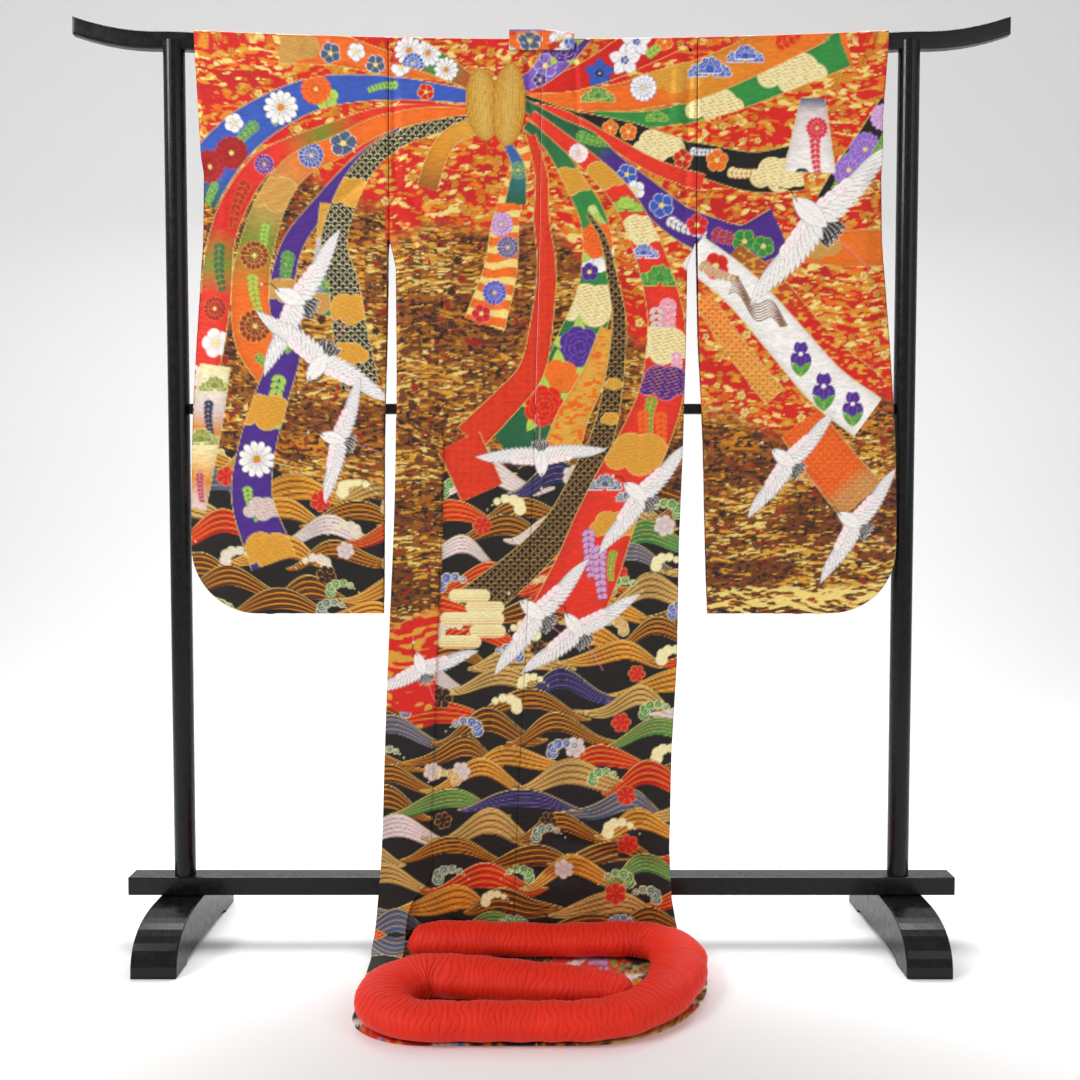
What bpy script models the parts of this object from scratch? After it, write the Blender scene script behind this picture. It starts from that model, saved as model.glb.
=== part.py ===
"""Uchikake wedding kimono spread on a lacquered kimono stand, seen back outwards.

Frame: metres, +Z up, origin on the floor at the middle of the whole part's box.
The back of the kimono looks along -Y, and +X is to the right of someone who looks at it.
"""

import math
from dataclasses import dataclass

import bmesh
import bpy
import numpy as np
from mathutils import Matrix, Vector

# ---------------------------------------------------------------- driving dimensions
CLOTH = 0.0024             # wall of the interlined brocade
SEAM = 0.0003              # gap between two pieces that are sewn together
CLEAR = 0.0010             # air between the cloth and the bar it hangs on
LAYER = 0.0055             # from the middle of one hanging layer to the next

BAR_HALF = 0.900           # half length of the top bar
BAR_TOP = 1.770            # top of the bar over the posts
BAR_HIGH = 0.034
BAR_DEEP = 0.024
BAR_ROUND = 0.005          # rounding of the bar's long edges
BAR_SAG = 0.018            # how far the kimono's weight bends the bar down at the middle
BAR_LIFT = 0.028           # how far the bar's ends curve up
LIFT_FROM = 0.740          # where the ends start to curve

POST_X = 0.708
POST_RADIUS = 0.0205
POST_TOP = 1.751           # the post's two cheeks end here, on each side of the bar
SLOT_SPARE = 0.010         # the slot's floor clears the bar this far inwards of the post

RAIL_LOW = 0.0923          # underside of the lower rail
RAIL_HIGH = 0.036
RAIL_DEEP = 0.048
RAIL_HALF = 0.8145
MID_RAIL_Z = 1.048         # middle of the thin rail between the posts
MID_RAIL_HIGH = 0.020
MID_RAIL_DEEP = 0.020
RAIL_ROUND = 0.002         # rounding of both rails' edges

FOOT_HALF = 0.200          # half length of a foot, front to back
FOOT_WIDE = 0.085
FOOT_HIGH = 0.092
FOOT_FLAT = 0.050          # half length of the flat on top, under the rail
FOOT_POWER = 2.6           # roundness of the foot's back
FOOT_PAD = 0.065           # length of each end that stands on the floor
FOOT_ARCH = 0.012          # height of the arch between the pads
FOOT_ROUND = 0.003         # rounding of the feet's edges

SPREAD_LOW = 0.0002        # underside of the hem laid out on the floor
SPREAD_TOP = SPREAD_LOW + CLOTH
ROLL_LOW = SPREAD_TOP + SEAM
BAR_EDGE = 1.740           # the panels leave the bar's side below this height
BACK_LOW = 0.030           # bottom of the backs, behind the padded hem
FRONT_LOW = 0.0045         # bottom of the fronts, just above the laid hem
BACK_ENDS = 0.005          # Y where the backs end and the fronts start, on top of the bar
PANEL_STEPS = 7            # columns of faces across a panel
ARMHOLE = 1.372            # the sleeves are sewn to the body above this height
SLIT_END = 1.030           # the side seams are sewn below this height
CUFF_END = 1.540           # the sleeves' outer edges are sewn below this height
SLEEVE_LOW = 0.650         # underside of the sleeves
SLEEVE_ROUND = 0.127       # radius of the sleeves' lower outer corners


@dataclass(frozen=True)
class BodyRow:
    """Edges of the body at one height, as it hangs."""

    height: float
    left: float
    seam: float
    right: float


BODY = (
    BodyRow(0.000, -0.325, -0.056, 0.272),
    BodyRow(0.050, -0.321, -0.054, 0.262),
    BodyRow(0.090, -0.319, -0.052, 0.255),
    BodyRow(0.190, -0.311, -0.049, 0.250),
    BodyRow(0.380, -0.305, -0.041, 0.254),
    BodyRow(0.560, -0.298, -0.031, 0.264),
    BodyRow(0.790, -0.287, -0.021, 0.267),
    BodyRow(0.970, -0.281, -0.014, 0.274),
    BodyRow(1.160, -0.280, -0.009, 0.279),
    BodyRow(1.320, -0.281, -0.004, 0.281),
    BodyRow(1.372, -0.293, -0.003, 0.298),
    BodyRow(1.800, -0.293, 0.003, 0.298),
)


@dataclass(frozen=True)
class SleeveRow:
    """Inner and outer edge of one sleeve at one height."""

    height: float
    inner: float
    outer: float


LEFT_SLEEVE = (
    SleeveRow(0.650, -0.307, -0.680),
    SleeveRow(0.830, -0.305, -0.681),
    SleeveRow(0.970, -0.304, -0.678),
    SleeveRow(1.180, -0.299, -0.668),
    SleeveRow(1.371, -0.297, -0.656),
    SleeveRow(1.372, -0.2942, -0.656),
    SleeveRow(1.500, -0.2942, -0.653),
    SleeveRow(1.800, -0.2942, -0.668),
)
RIGHT_SLEEVE = (
    SleeveRow(0.650, 0.323, 0.690),
    SleeveRow(0.830, 0.317, 0.690),
    SleeveRow(0.970, 0.313, 0.686),
    SleeveRow(1.180, 0.303, 0.674),
    SleeveRow(1.371, 0.3003, 0.660),
    SleeveRow(1.372, 0.2992, 0.660),
    SleeveRow(1.600, 0.2992, 0.655),
    SleeveRow(1.800, 0.2992, 0.668),
)


@dataclass(frozen=True)
class HangRow:
    """Distance of each hanging layer from the bar's middle plane at one height."""

    height: float
    back: float
    front: float
    sleeve_back: float
    sleeve_front: float


HANG = (
    HangRow(0.000, -0.0400, -0.0300, -0.0215, -0.0180),
    HangRow(0.130, -0.0345, -0.0282, -0.0215, -0.0180),
    HangRow(0.652, -0.0262, -0.0048, -0.0215, -0.0180),
    HangRow(0.700, -0.0254, -0.0026, -0.0255, -0.0135),
    HangRow(1.060, -0.0197, 0.0135, -0.0255, -0.0135),
    HangRow(1.372, -0.0169, 0.0138, -0.0169, 0.0138),
    HangRow(1.760, -0.0142, 0.0142, -0.0142, 0.0142),
)


@dataclass(frozen=True)
class RollPoint:
    """One section of the padded hem: its middle on the floor, half width and height."""

    x: float
    y: float
    half: float
    high: float


@dataclass(frozen=True)
class Turn:
    """A turn of the padded hem: part of an ellipse, from one angle in degrees to another."""

    x: float
    y: float
    reach_x: float
    reach_y: float
    start: float
    stop: float
    half_start: float
    half_stop: float
    high_start: float
    high_stop: float


# The padded hem lies as a flat spiral: a run under the back, round the right side, a run
# nearest the viewer, round the left side, and a last run that ends inside.
BACK_RUN = (
    RollPoint(-0.2575, -0.090, 0.012, 0.030),
    RollPoint(-0.2500, -0.090, 0.027, 0.045),
    RollPoint(-0.2360, -0.090, 0.038, 0.054),
    RollPoint(-0.2050, -0.090, 0.045, 0.059),
    RollPoint(-0.1400, -0.090, 0.046, 0.060),
    RollPoint(-0.0600, -0.090, 0.046, 0.056),
    RollPoint(0.0200, -0.090, 0.046, 0.053),
    RollPoint(0.0950, -0.090, 0.046, 0.056),
)
RIGHT_BACK = Turn(0.160, -0.175, 0.092, 0.085, 90.0, 0.0, 0.046, 0.052, 0.059, 0.060)
RIGHT_FRONT = Turn(0.060, -0.175, 0.192, 0.255, 0.0, -90.0, 0.052, 0.041, 0.060, 0.056)
FRONT_RUN = (
    RollPoint(0.0000, -0.430, 0.041, 0.056),
    RollPoint(-0.0650, -0.430, 0.041, 0.056),
    RollPoint(-0.1300, -0.430, 0.041, 0.056),
)
LEFT_TURN = Turn(-0.190, -0.346, 0.080, 0.084, -90.0, -270.0, 0.041, 0.056, 0.056, 0.064)
INNER_RUN = (
    RollPoint(-0.1190, -0.272, 0.055, 0.064),
    RollPoint(-0.0480, -0.282, 0.051, 0.062),
    RollPoint(0.0230, -0.292, 0.046, 0.059),
    RollPoint(0.0940, -0.302, 0.041, 0.056),
    RollPoint(0.1330, -0.3075, 0.036, 0.052),
    RollPoint(0.1540, -0.3105, 0.025, 0.043),
    RollPoint(0.1650, -0.3120, 0.012, 0.030),
)
ROLL_SIDES = 14            # points round one section of the roll
TURN_STEP = 13.0           # about the angle between two sections of a turn

SPREAD_BACK = -0.024       # back edge of the laid hem
SPREAD_SPLIT = -0.020      # its two halves meet here
SPREAD_FRONT = -0.452      # front edge, just under the roll's front
SPREAD_SIDE = 0.050        # how far its sides lie outside the roll's middle line

OKUMI_EDGE = 0.115         # where the overlap panels are sewn to the fronts
FRONT_EDGE = 0.010         # the overlap panels' free edges
OKUMI_POINT = 1.500        # top of the overlap panels
OKUMI_TIP = 0.006          # width of their upper ends
FOLD_FULL = 1.005          # the side fold has its full width below this height
FOLD_EDGE_TOP = -0.189
FOLD_EDGE_LOW = -0.219
FOLD_FLOOR_RIGHT = -0.262  # its right edge where it reaches the floor, beside the roll's end
FOLD_FLOOR_LEFT = -0.3215
FOLD_LANDS = -0.130        # it lies on the floor forward of here
FOLD_SPREADS = 0.050       # how much wider its right side gets as it runs forward
FOLD_HANGS = 0.130         # it hangs along the back above this height
FOLD_INSET = 0.008         # the back stops this far inside the fold's outer edge
FOLD_STEPS = 5             # columns of faces across the fold


@dataclass(frozen=True)
class FoldRow:
    """Where the side fold sweeps down from the back to the floor."""

    y: float
    height: float


FOLD_SWEEP = (
    FoldRow(-0.102, 0.0130),
    FoldRow(-0.080, 0.0270),
    FoldRow(-0.062, 0.0500),
    FoldRow(-0.050, 0.0830),
)

COLLAR_WALL = 0.0050       # the collar is folded double
COLLAR_LAP = 0.010         # how far the collar laps over the panels' cut edges
COLLAR_STEPS = 4
COLLAR_AWAY = 0.0062       # from the middle of the fronts to the middle of the collar
NECK_HALF = 0.062          # half width of the neck, over the bar
NECK_RISE = 0.019          # how far the collar stands above the bar's top
NECK_FALL = 0.012          # the same at the outer edge of its lower half
NECK_DEEP = 0.0205         # from the bar's middle plane to the collar's two faces


@dataclass(frozen=True)
class CollarRow:
    """The collar's two edges at one height, as distances from the middle."""

    height: float
    inner: float
    outer: float


COLLAR = (
    CollarRow(0.880, 0.010, 0.085),
    CollarRow(1.050, 0.015, 0.090),
    CollarRow(1.250, 0.028, 0.103),
    CollarRow(1.400, 0.042, 0.117),
    CollarRow(1.500, 0.050, 0.125),
    CollarRow(1.600, 0.040, 0.114),
    CollarRow(1.690, 0.016, 0.086),
    CollarRow(1.740, 0.00015, 0.062),
)

# The pieces are placed from the bar's middle plane, then shifted to centre the part's box.
ROLL_FRONT = RIGHT_FRONT.y - RIGHT_FRONT.reach_y - RIGHT_FRONT.half_stop
SHIFT_Y = -(ROLL_FRONT + FOOT_HALF) / 2

COLLECTION = "uchikake_on_stand"


# ---------------------------------------------------------------- small helpers
def column(rows: tuple, name: str, height: float) -> float:
    """Read one named column of a table at a height between its rows."""
    heights = [row.height for row in rows]
    values = [getattr(row, name) for row in rows]
    return float(np.interp(height, heights, values))


def spaced(start: float, stop: float, steps: int) -> list:
    """Values from start to stop in even steps, with both ends."""
    return [start + (stop - start) * step / steps for step in range(steps + 1)]


def smooth(value: float) -> float:
    """Rise from 0 to 1 with level ends."""
    value = min(max(value, 0.0), 1.0)
    return value * value * (3.0 - 2.0 * value)


def bar_top(x: float) -> float:
    """Height of the bar's top edge: bent down between the posts, curved up at the ends."""
    sag = BAR_SAG * max(0.0, 1.0 - (x / POST_X) ** 2)
    lift = BAR_LIFT * (max(0.0, abs(x) - LIFT_FROM) / (BAR_HALF - LIFT_FROM)) ** 2
    return BAR_TOP - sag + lift


def make_material(name: str, colour: tuple, rough: float, metal: float) -> bpy.types.Material:
    """Make a Principled BSDF material."""
    material = bpy.data.materials.new(name)
    material.use_nodes = True
    shader = material.node_tree.nodes["Principled BSDF"]
    shader.inputs["Base Color"].default_value = (*colour, 1.0)
    shader.inputs["Roughness"].default_value = rough
    shader.inputs["Metallic"].default_value = metal
    return material


def add_object(name: str, mesh: bpy.types.Mesh, material: bpy.types.Material) -> bpy.types.Object:
    """Put a mesh into the part's collection, shifted into the part's frame."""
    part = bpy.data.objects.new(name, mesh)
    part.location = (0.0, SHIFT_Y, 0.0)
    mesh.materials.clear()
    mesh.materials.append(material)
    bpy.data.collections[COLLECTION].objects.link(part)
    return part


def sheet(name: str, rows: list, material: bpy.types.Material, wall: float = CLOTH):
    """Make a cloth wall from rows of points, thickened evenly to both sides."""
    grid = np.array(rows)
    high, wide = grid.shape[:2]
    index = np.arange(high * wide).reshape(high, wide)
    low, up = index[:-1], index[1:]
    faces = np.stack([low[:, :-1], low[:, 1:], up[:, 1:], up[:, :-1]], axis=-1)
    mesh = bpy.data.meshes.new(name)
    mesh.from_pydata(grid.reshape(-1, 3).tolist(), [], faces.reshape(-1, 4).tolist())
    mesh.shade_smooth()
    part = add_object(name, mesh, material)
    solidify = part.modifiers.new("wall", "SOLIDIFY")
    solidify.thickness = wall
    solidify.offset = 0.0
    solidify.use_even_offset = True
    return part


def extrude_outline(
    name: str, outline: list, half: float, material: bpy.types.Material, edge: float = 0.0,
):
    """Extrude a closed flat outline to both sides of its plane, with its edges rounded."""
    curve = bpy.data.curves.new(name, "CURVE")
    curve.dimensions = "2D"
    curve.fill_mode = "BOTH"
    curve.extrude = half - edge
    curve.bevel_depth = edge
    curve.bevel_resolution = 2
    curve.offset = -edge
    spline = curve.splines.new("POLY")
    spline.points.add(len(outline) - 1)
    for point, (across, up) in zip(spline.points, outline):
        point.co = (across, up, 0.0, 1.0)
    spline.use_cyclic_u = True
    return curve_to_part(name, curve, material)


def curve_to_part(name: str, curve: bpy.types.Curve, material: bpy.types.Material):
    """Turn a curve into a welded mesh part."""
    guide = bpy.data.objects.new(name + "_curve", curve)
    bpy.context.scene.collection.objects.link(guide)
    seen = guide.evaluated_get(bpy.context.evaluated_depsgraph_get())
    mesh = bpy.data.meshes.new_from_object(seen)
    bpy.data.objects.remove(guide)
    shape = bmesh.new()
    shape.from_mesh(mesh)
    bmesh.ops.remove_doubles(shape, verts=shape.verts, dist=0.00001)
    bmesh.ops.recalc_face_normals(shape, faces=shape.faces)
    shape.to_mesh(mesh)
    shape.free()
    return add_object(name, mesh, material)


def round_edges(rail: bpy.types.Object) -> None:
    """Round a rail's sharp edges."""
    bevel = rail.modifiers.new("round", "BEVEL")
    bevel.width = RAIL_ROUND
    bevel.segments = 2
    bevel.limit_method = "ANGLE"
    bevel.angle_limit = math.radians(40.0)


def block(name: str, size: tuple, middle: tuple, material: bpy.types.Material):
    """Make a box of a size round a middle."""
    shape = bmesh.new()
    bmesh.ops.create_cube(shape, size=1.0)
    bmesh.ops.scale(shape, vec=Vector(size), verts=shape.verts)
    bmesh.ops.translate(shape, vec=Vector(middle), verts=shape.verts)
    mesh = bpy.data.meshes.new(name)
    shape.to_mesh(mesh)
    shape.free()
    return add_object(name, mesh, material)


# ---------------------------------------------------------------- the stand
def build_top_bar(lacquer: bpy.types.Material) -> None:
    """The bar: a rounded oblong section that sags in the middle and lifts at its ends."""
    stations = [BAR_HALF * step / 30 for step in range(-30, 31)]
    upper = [(x, bar_top(x)) for x in stations]
    lower = [(x, bar_top(x) - BAR_HIGH) for x in reversed(stations)]
    bar = extrude_outline("top_bar", upper + lower, BAR_DEEP / 2, lacquer, BAR_ROUND)
    bar.data.transform(Matrix.Rotation(math.radians(90.0), 4, "X"))


def build_post(side: str, sign: float, lacquer: bpy.types.Material) -> None:
    """A round post with a slot in its top that the bar lies in."""
    bottom = RAIL_LOW + RAIL_HIGH + SEAM
    shape = bmesh.new()
    bmesh.ops.create_cone(
        shape, cap_ends=True, segments=32,
        radius1=POST_RADIUS, radius2=POST_RADIUS, depth=POST_TOP - bottom,
    )
    place = Vector((sign * POST_X, 0.0, (POST_TOP + bottom) / 2))
    bmesh.ops.translate(shape, vec=place, verts=shape.verts)
    mesh = bpy.data.meshes.new("post_" + side)
    shape.to_mesh(mesh)
    shape.free()
    mesh.shade_smooth()
    mesh.set_sharp_from_angle(angle=math.radians(40.0))
    post = add_object("post_" + side, mesh, lacquer)

    slot_low = bar_top(POST_X - POST_RADIUS - SLOT_SPARE) - BAR_HIGH - SEAM
    slot_size = (4 * POST_RADIUS, BAR_DEEP + 2 * SEAM, 2 * (POST_TOP - slot_low))
    slot = block("slot_cutter_" + side, slot_size, (sign * POST_X, 0.0, POST_TOP), lacquer)
    bpy.data.collections[COLLECTION].objects.unlink(slot)
    bpy.data.collections["cutters"].objects.link(slot)
    slot.hide_render = True
    slot.display_type = "WIRE"
    cut = post.modifiers.new("slot", "BOOLEAN")
    cut.operation = "DIFFERENCE"
    cut.solver = "EXACT"
    cut.object = slot


def build_rails(lacquer: bpy.types.Material) -> None:
    """The thin middle rail between the posts and the heavy lower rail on the feet."""
    reach = POST_X - POST_RADIUS - SEAM
    size = (2 * reach, MID_RAIL_DEEP, MID_RAIL_HIGH)
    middle = block("middle_rail", size, (0.0, 0.0, MID_RAIL_Z), lacquer)
    round_edges(middle)
    size = (2 * RAIL_HALF, RAIL_DEEP, RAIL_HIGH)
    lower = block("lower_rail", size, (0.0, 0.0, RAIL_LOW + RAIL_HIGH / 2), lacquer)
    round_edges(lower)


def foot_outline() -> list:
    """Side view of a foot: a flat top, rounded back, two pads and a low arch between."""
    reach = FOOT_HALF - FOOT_FLAT
    power = FOOT_POWER
    front = []
    for step in range(13):
        share = math.sin(math.pi / 2 * step / 12)
        height = FOOT_HIGH * max(0.0, 1.0 - share ** power) ** (1.0 / power)
        front.append((FOOT_FLAT + reach * share, height))
    upper = [(-y, z) for y, z in reversed(front)] + front
    inner = FOOT_HALF - FOOT_PAD
    arch = []
    for step in range(11):
        turn = math.pi * step / 10
        arch.append((inner * math.cos(turn), FOOT_ARCH * math.sin(turn) ** 0.5))
    arch[0] = (inner, 0.0)
    arch[-1] = (-inner, 0.0)
    return upper + arch


def build_foot(side: str, sign: float, lacquer: bpy.types.Material) -> None:
    """A foot: an arched beam across the stand, flat where it stands."""
    foot = extrude_outline("foot_" + side, foot_outline(), FOOT_WIDE / 2, lacquer, FOOT_ROUND)
    foot.data.transform(Matrix(((0, 0, 1, 0), (1, 0, 0, 0), (0, 1, 0, 0), (0, 0, 0, 1))))
    foot.data.transform(Matrix.Translation((sign * POST_X, 0.0, 0.0)))


# ---------------------------------------------------------------- the hanging panels
def over_bar(x: float, side: float, start: float) -> list:
    """Y and Z of the cloth's middle from one side of the bar up and over its top.

    side is -1 on the back's side and +1 on the fronts' side; start is where the cloth
    ends on top of the bar, as a Y.
    """
    edge = BAR_DEEP / 2 - BAR_ROUND
    reach = BAR_ROUND + CLEAR + CLOTH / 2
    top = bar_top(x)
    path = []
    for turn in (0.0, 30.0, 60.0, 90.0):
        angle = math.radians(turn)
        across = edge + reach * math.cos(angle)
        path.append((side * across, top - BAR_ROUND + reach * math.sin(angle)))
    path.append((start, top - BAR_ROUND + reach))
    return path


def hang_rows(*stops: tuple) -> list:
    """Heights of a panel's rows: each stop is a height and the steps that lead up to it."""
    heights = [stops[0][0]]
    for (low, _), (high, count) in zip(stops, stops[1:]):
        heights += [low + (high - low) * step / count for step in range(1, count + 1)]
    return heights


def body_rows(low: float) -> list:
    """Heights of a body panel's rows, with rows at the slit's and the armhole's ends."""
    stops = ((low, 0), (SLIT_END, 9), (ARMHOLE - 0.05, 3), (ARMHOLE, 1), (OKUMI_POINT, 2))
    return hang_rows(*stops, (BAR_EDGE, 3))


def soft_fold(x: float, z: float) -> float:
    """Depth of the panels' broad shallow folds, which fade out up at the bar."""
    depth = 0.0016 * (1.0 + math.sin(19.0 * x + 2.1 * z) * math.sin(3.0 * z + 0.6))
    return depth * smooth((1.70 - z) / 0.5)


def panel(edges, layer: str, side: float, heights: list, start: float) -> list:
    """Rows of points of a panel that hangs down from the bar's top.

    edges gives the two edges' X at a height, layer names the HANG column, heights are
    the rows below the bar, and start is the Y where the cloth ends on top of the bar.
    """
    rows = []
    across = PANEL_STEPS
    for height in heights:
        near, far = edges(height)
        row = []
        for step in range(across + 1):
            x = near + (far - near) * step / across
            y = column(HANG, layer, height) - soft_fold(x, height) * (side < 0)
            row.append((x, y, height))
        rows.append(row)
    near, far = edges(BAR_TOP)
    xs = [near + (far - near) * step / across for step in range(across + 1)]
    paths = [over_bar(x, side, start) for x in xs]
    for place in range(len(paths[0])):
        rows.append([(x, path[place][0], path[place][1]) for x, path in zip(xs, paths)])
    return rows


def build_backs(brocade: bpy.types.Material) -> None:
    """The two back panels, from the padded hem up and over the bar, joined down the middle."""
    half = SEAM / 2

    def left(height: float) -> tuple:
        inset = FOLD_INSET * smooth((SLIT_END - height) / 0.03)
        return column(BODY, "left", height) + inset, column(BODY, "seam", height) - half

    def right(height: float) -> tuple:
        return column(BODY, "seam", height) + half, column(BODY, "right", height)

    sheet("back_left", panel(left, "back", -1.0, body_rows(BACK_LOW), BACK_ENDS), brocade)
    sheet("back_right", panel(right, "back", -1.0, body_rows(BACK_LOW), BACK_ENDS), brocade)


def front_edge(height: float) -> float:
    """The fronts' inner edge: the overlap's seam, and above it the cut edge at the neck."""
    if height < OKUMI_POINT:
        return OKUMI_EDGE + SEAM / 2
    return column(COLLAR, "outer", height) - COLLAR_LAP + SEAM / 2


def build_fronts(brocade: bpy.types.Material) -> None:
    """The two front panels, on the far side of the bar, curled in to the side seams."""

    def left(height: float) -> tuple:
        return column(BODY, "left", height) + FOLD_INSET / 2, -front_edge(height)

    def right(height: float) -> tuple:
        return column(BODY, "right", height), front_edge(height)

    for name, edges in (("front_left", left), ("front_right", right)):
        rows = panel(edges, "front", 1.0, body_rows(FRONT_LOW), BACK_ENDS + SEAM)
        curled = []
        for row in rows:
            height = row[0][2]
            sewn = smooth((SLIT_END - height) / 0.06)
            meet = column(HANG, "back", height) + CLOTH + SEAM + CLEAR
            bent = []
            for place, (x, y, z) in enumerate(row):
                share = sewn * max(0.0, 1.0 - place / 2) ** 2
                bent.append((x, y + (meet - y) * share, z))
            curled.append(bent)
        sheet(name, curled, brocade)


def build_okumi(brocade: bpy.types.Material) -> None:
    """The overlap panels: each starts as a point and widens down to the fronts' free edges."""
    for name, sign in (("okumi_left", -1.0), ("okumi_right", 1.0)):
        rows = []
        full = COLLAR[0].height
        for height in hang_rows((FRONT_LOW, 0), (full, 7), (OKUMI_POINT, 5)):
            open_share = min(1.0, (OKUMI_POINT - height) / (OKUMI_POINT - full))
            width = OKUMI_TIP + (OKUMI_EDGE - FRONT_EDGE - OKUMI_TIP) * open_share
            outer = OKUMI_EDGE - SEAM / 2
            y = column(HANG, "front", height)
            rows.append([(sign * x, y, height) for x in spaced(outer, outer - width, 3)])
        sheet(name, rows, brocade)


def fold_on_floor() -> list:
    """Rows of the side fold's part on the floor, cut to follow the roll's left turn."""
    turn = LEFT_TURN
    reach_x, reach_y = turn.reach_x + turn.half_stop, turn.reach_y + turn.half_stop
    floor = SPREAD_TOP + 2 * SEAM + CLOTH / 2
    steps = 6
    rows = []
    for step in range(steps + 1):
        share = step / steps
        right = FOLD_FLOOR_RIGHT + FOLD_SPREADS * (1.0 - share)
        row = []
        for x in spaced(FOLD_FLOOR_LEFT, right, FOLD_STEPS):
            across = (x - turn.x) / reach_x
            end = turn.y + reach_y * math.sqrt(max(0.05, 1.0 - across ** 2)) + 2 * CLOTH
            y = end + (FOLD_LANDS - end) * share
            row.append((x, y, floor + CLOTH * share ** 3))
        rows.append(row)
    return rows


def build_side_fold(brocade: bpy.types.Material) -> None:
    """The left front's fold: brought round the side, over the back, and out on the floor."""
    rows = fold_on_floor()
    for point in FOLD_SWEEP:
        left = column(BODY, "left", point.height)
        above = smooth((2 * point.height - FOLD_HANGS) / FOLD_HANGS)
        right = FOLD_FLOOR_RIGHT + (FOLD_EDGE_LOW - FOLD_FLOOR_RIGHT) * above
        row = [(x, point.y, point.height) for x in spaced(left, right, FOLD_STEPS)]
        rows.append(row)
    for height in hang_rows((FOLD_HANGS, 0), (FOLD_FULL, 9)):
        left = column(BODY, "left", height)
        down = (FOLD_FULL - height) / (FOLD_FULL - FOLD_HANGS)
        right = FOLD_EDGE_TOP + (FOLD_EDGE_LOW - FOLD_EDGE_TOP) * down
        row = []
        for place, x in enumerate(spaced(left, right, FOLD_STEPS)):
            y = column(HANG, "back", height) - LAYER - soft_fold(x, height)
            top_row = height == FOLD_FULL
            slope = (SLIT_END - FOLD_FULL) * (1.0 - place / FOLD_STEPS) * top_row
            row.append((x, y, height + slope))
        rows.append(row)
    sheet("side_fold_left", rows, brocade)


def build_sleeves(brocade: bpy.types.Material) -> None:
    """Each sleeve's back and front, sewn along the bottom and the outer edge below the cuff."""
    for side, table in (("left", LEFT_SLEEVE), ("right", RIGHT_SLEEVE)):
        sign = -1.0 if side == "left" else 1.0

        def edges(height: float) -> tuple:
            outer = abs(column(table, "outer", height))
            inner = abs(column(table, "inner", height))
            above = height - SLEEVE_LOW
            if above < SLEEVE_ROUND:
                drop = SLEEVE_ROUND - above
                outer -= SLEEVE_ROUND - math.sqrt(SLEEVE_ROUND ** 2 - drop ** 2)
            return sign * inner, sign * outer

        layers = (
            ("back", "sleeve_back", -1.0, BACK_ENDS),
            ("front", "sleeve_front", 1.0, BACK_ENDS + SEAM),
        )
        low = SLEEVE_LOW + SLEEVE_ROUND
        heights = hang_rows((low, 0), (SLIT_END, 3), (ARMHOLE, 3), (CUFF_END, 2), (BAR_EDGE, 2))
        for layer, name, away, start in layers:
            rows = panel(edges, name, away, heights, start)
            corner = []
            for step in range(6):
                turn = math.pi / 2 * step / 6
                height = SLEEVE_LOW + SLEEVE_ROUND * (1.0 - math.cos(turn))
                near, far = edges(height + 0.00001)
                row = []
                for place in range(PANEL_STEPS + 1):
                    x = near + (far - near) * place / PANEL_STEPS
                    wave = soft_fold(x, height) * (away < 0)
                    row.append((x, column(HANG, name, height) - wave, height))
                corner.append(row)
            sheet(f"sleeve_{side}_{layer}", close_outer_edge(corner + rows, away), brocade)


def close_outer_edge(rows: list, away: float) -> list:
    """Bring a sleeve layer's outer edge to its partner's, below the cuff."""
    closed = []
    for row in rows:
        height = row[0][2]
        sewn = smooth((CUFF_END - height) / 0.05)
        middle = (column(HANG, "sleeve_back", height) + column(HANG, "sleeve_front", height)) / 2
        meet = middle + away * (CLOTH / 2 + SEAM)
        last_x, last_y, last_z = row[-1]
        closed.append(row[:-1] + [(last_x, last_y + (meet - last_y) * sewn, last_z)])
    return closed


# ---------------------------------------------------------------- collar and hem
def build_collar(brocade: bpy.types.Material) -> None:
    """The collar's two halves: from the back of the neck, over the bar, down a free edge."""
    deep = NECK_DEEP
    rising = ((-deep, -0.022), (-deep, 0.000), (-0.8 * deep, 0.008), (-0.4 * deep, NECK_FALL))
    path = rising + tuple((-y, z) for y, z in reversed(rising))
    for name, sign, fall in (("collar_left", -1.0, 0.0), ("collar_right", 1.0, 1.0)):
        rows = []
        for y, rise in path:
            row = []
            for place, x in enumerate(spaced(SEAM / 2, NECK_HALF, COLLAR_STEPS)):
                lift = (NECK_RISE - NECK_FALL) * (1.0 - fall * place / COLLAR_STEPS)
                row.append((sign * x, y, bar_top(x) + rise + lift * (rise > 0)))
            rows.append(row)
        for edge in reversed(COLLAR[:-1]):
            y = column(HANG, "front", edge.height) + COLLAR_AWAY
            xs = spaced(edge.inner, edge.outer, COLLAR_STEPS)
            rows.append([(sign * x, y, edge.height) for x in xs])
        sheet(name, rows, brocade, COLLAR_WALL)


def turn_points(turn: Turn) -> list:
    """Sections of the roll round one turn, at even angles."""
    steps = round(abs(turn.stop - turn.start) / TURN_STEP)
    points = []
    for step in range(steps + 1):
        share = step / steps
        angle = math.radians(turn.start + (turn.stop - turn.start) * share)
        x = turn.x + turn.reach_x * math.cos(angle)
        y = turn.y + turn.reach_y * math.sin(angle)
        half = turn.half_start + (turn.half_stop - turn.half_start) * share
        high = turn.high_start + (turn.high_stop - turn.high_start) * share
        points.append(RollPoint(x, y, half, high))
    return points


def roll_points() -> list:
    """Sections of the padded hem along its spiral, from the end at the back to the inside."""
    right = turn_points(RIGHT_BACK) + turn_points(RIGHT_FRONT)[1:]
    return list(BACK_RUN) + right + list(FRONT_RUN) + turn_points(LEFT_TURN) + list(INNER_RUN)


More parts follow.
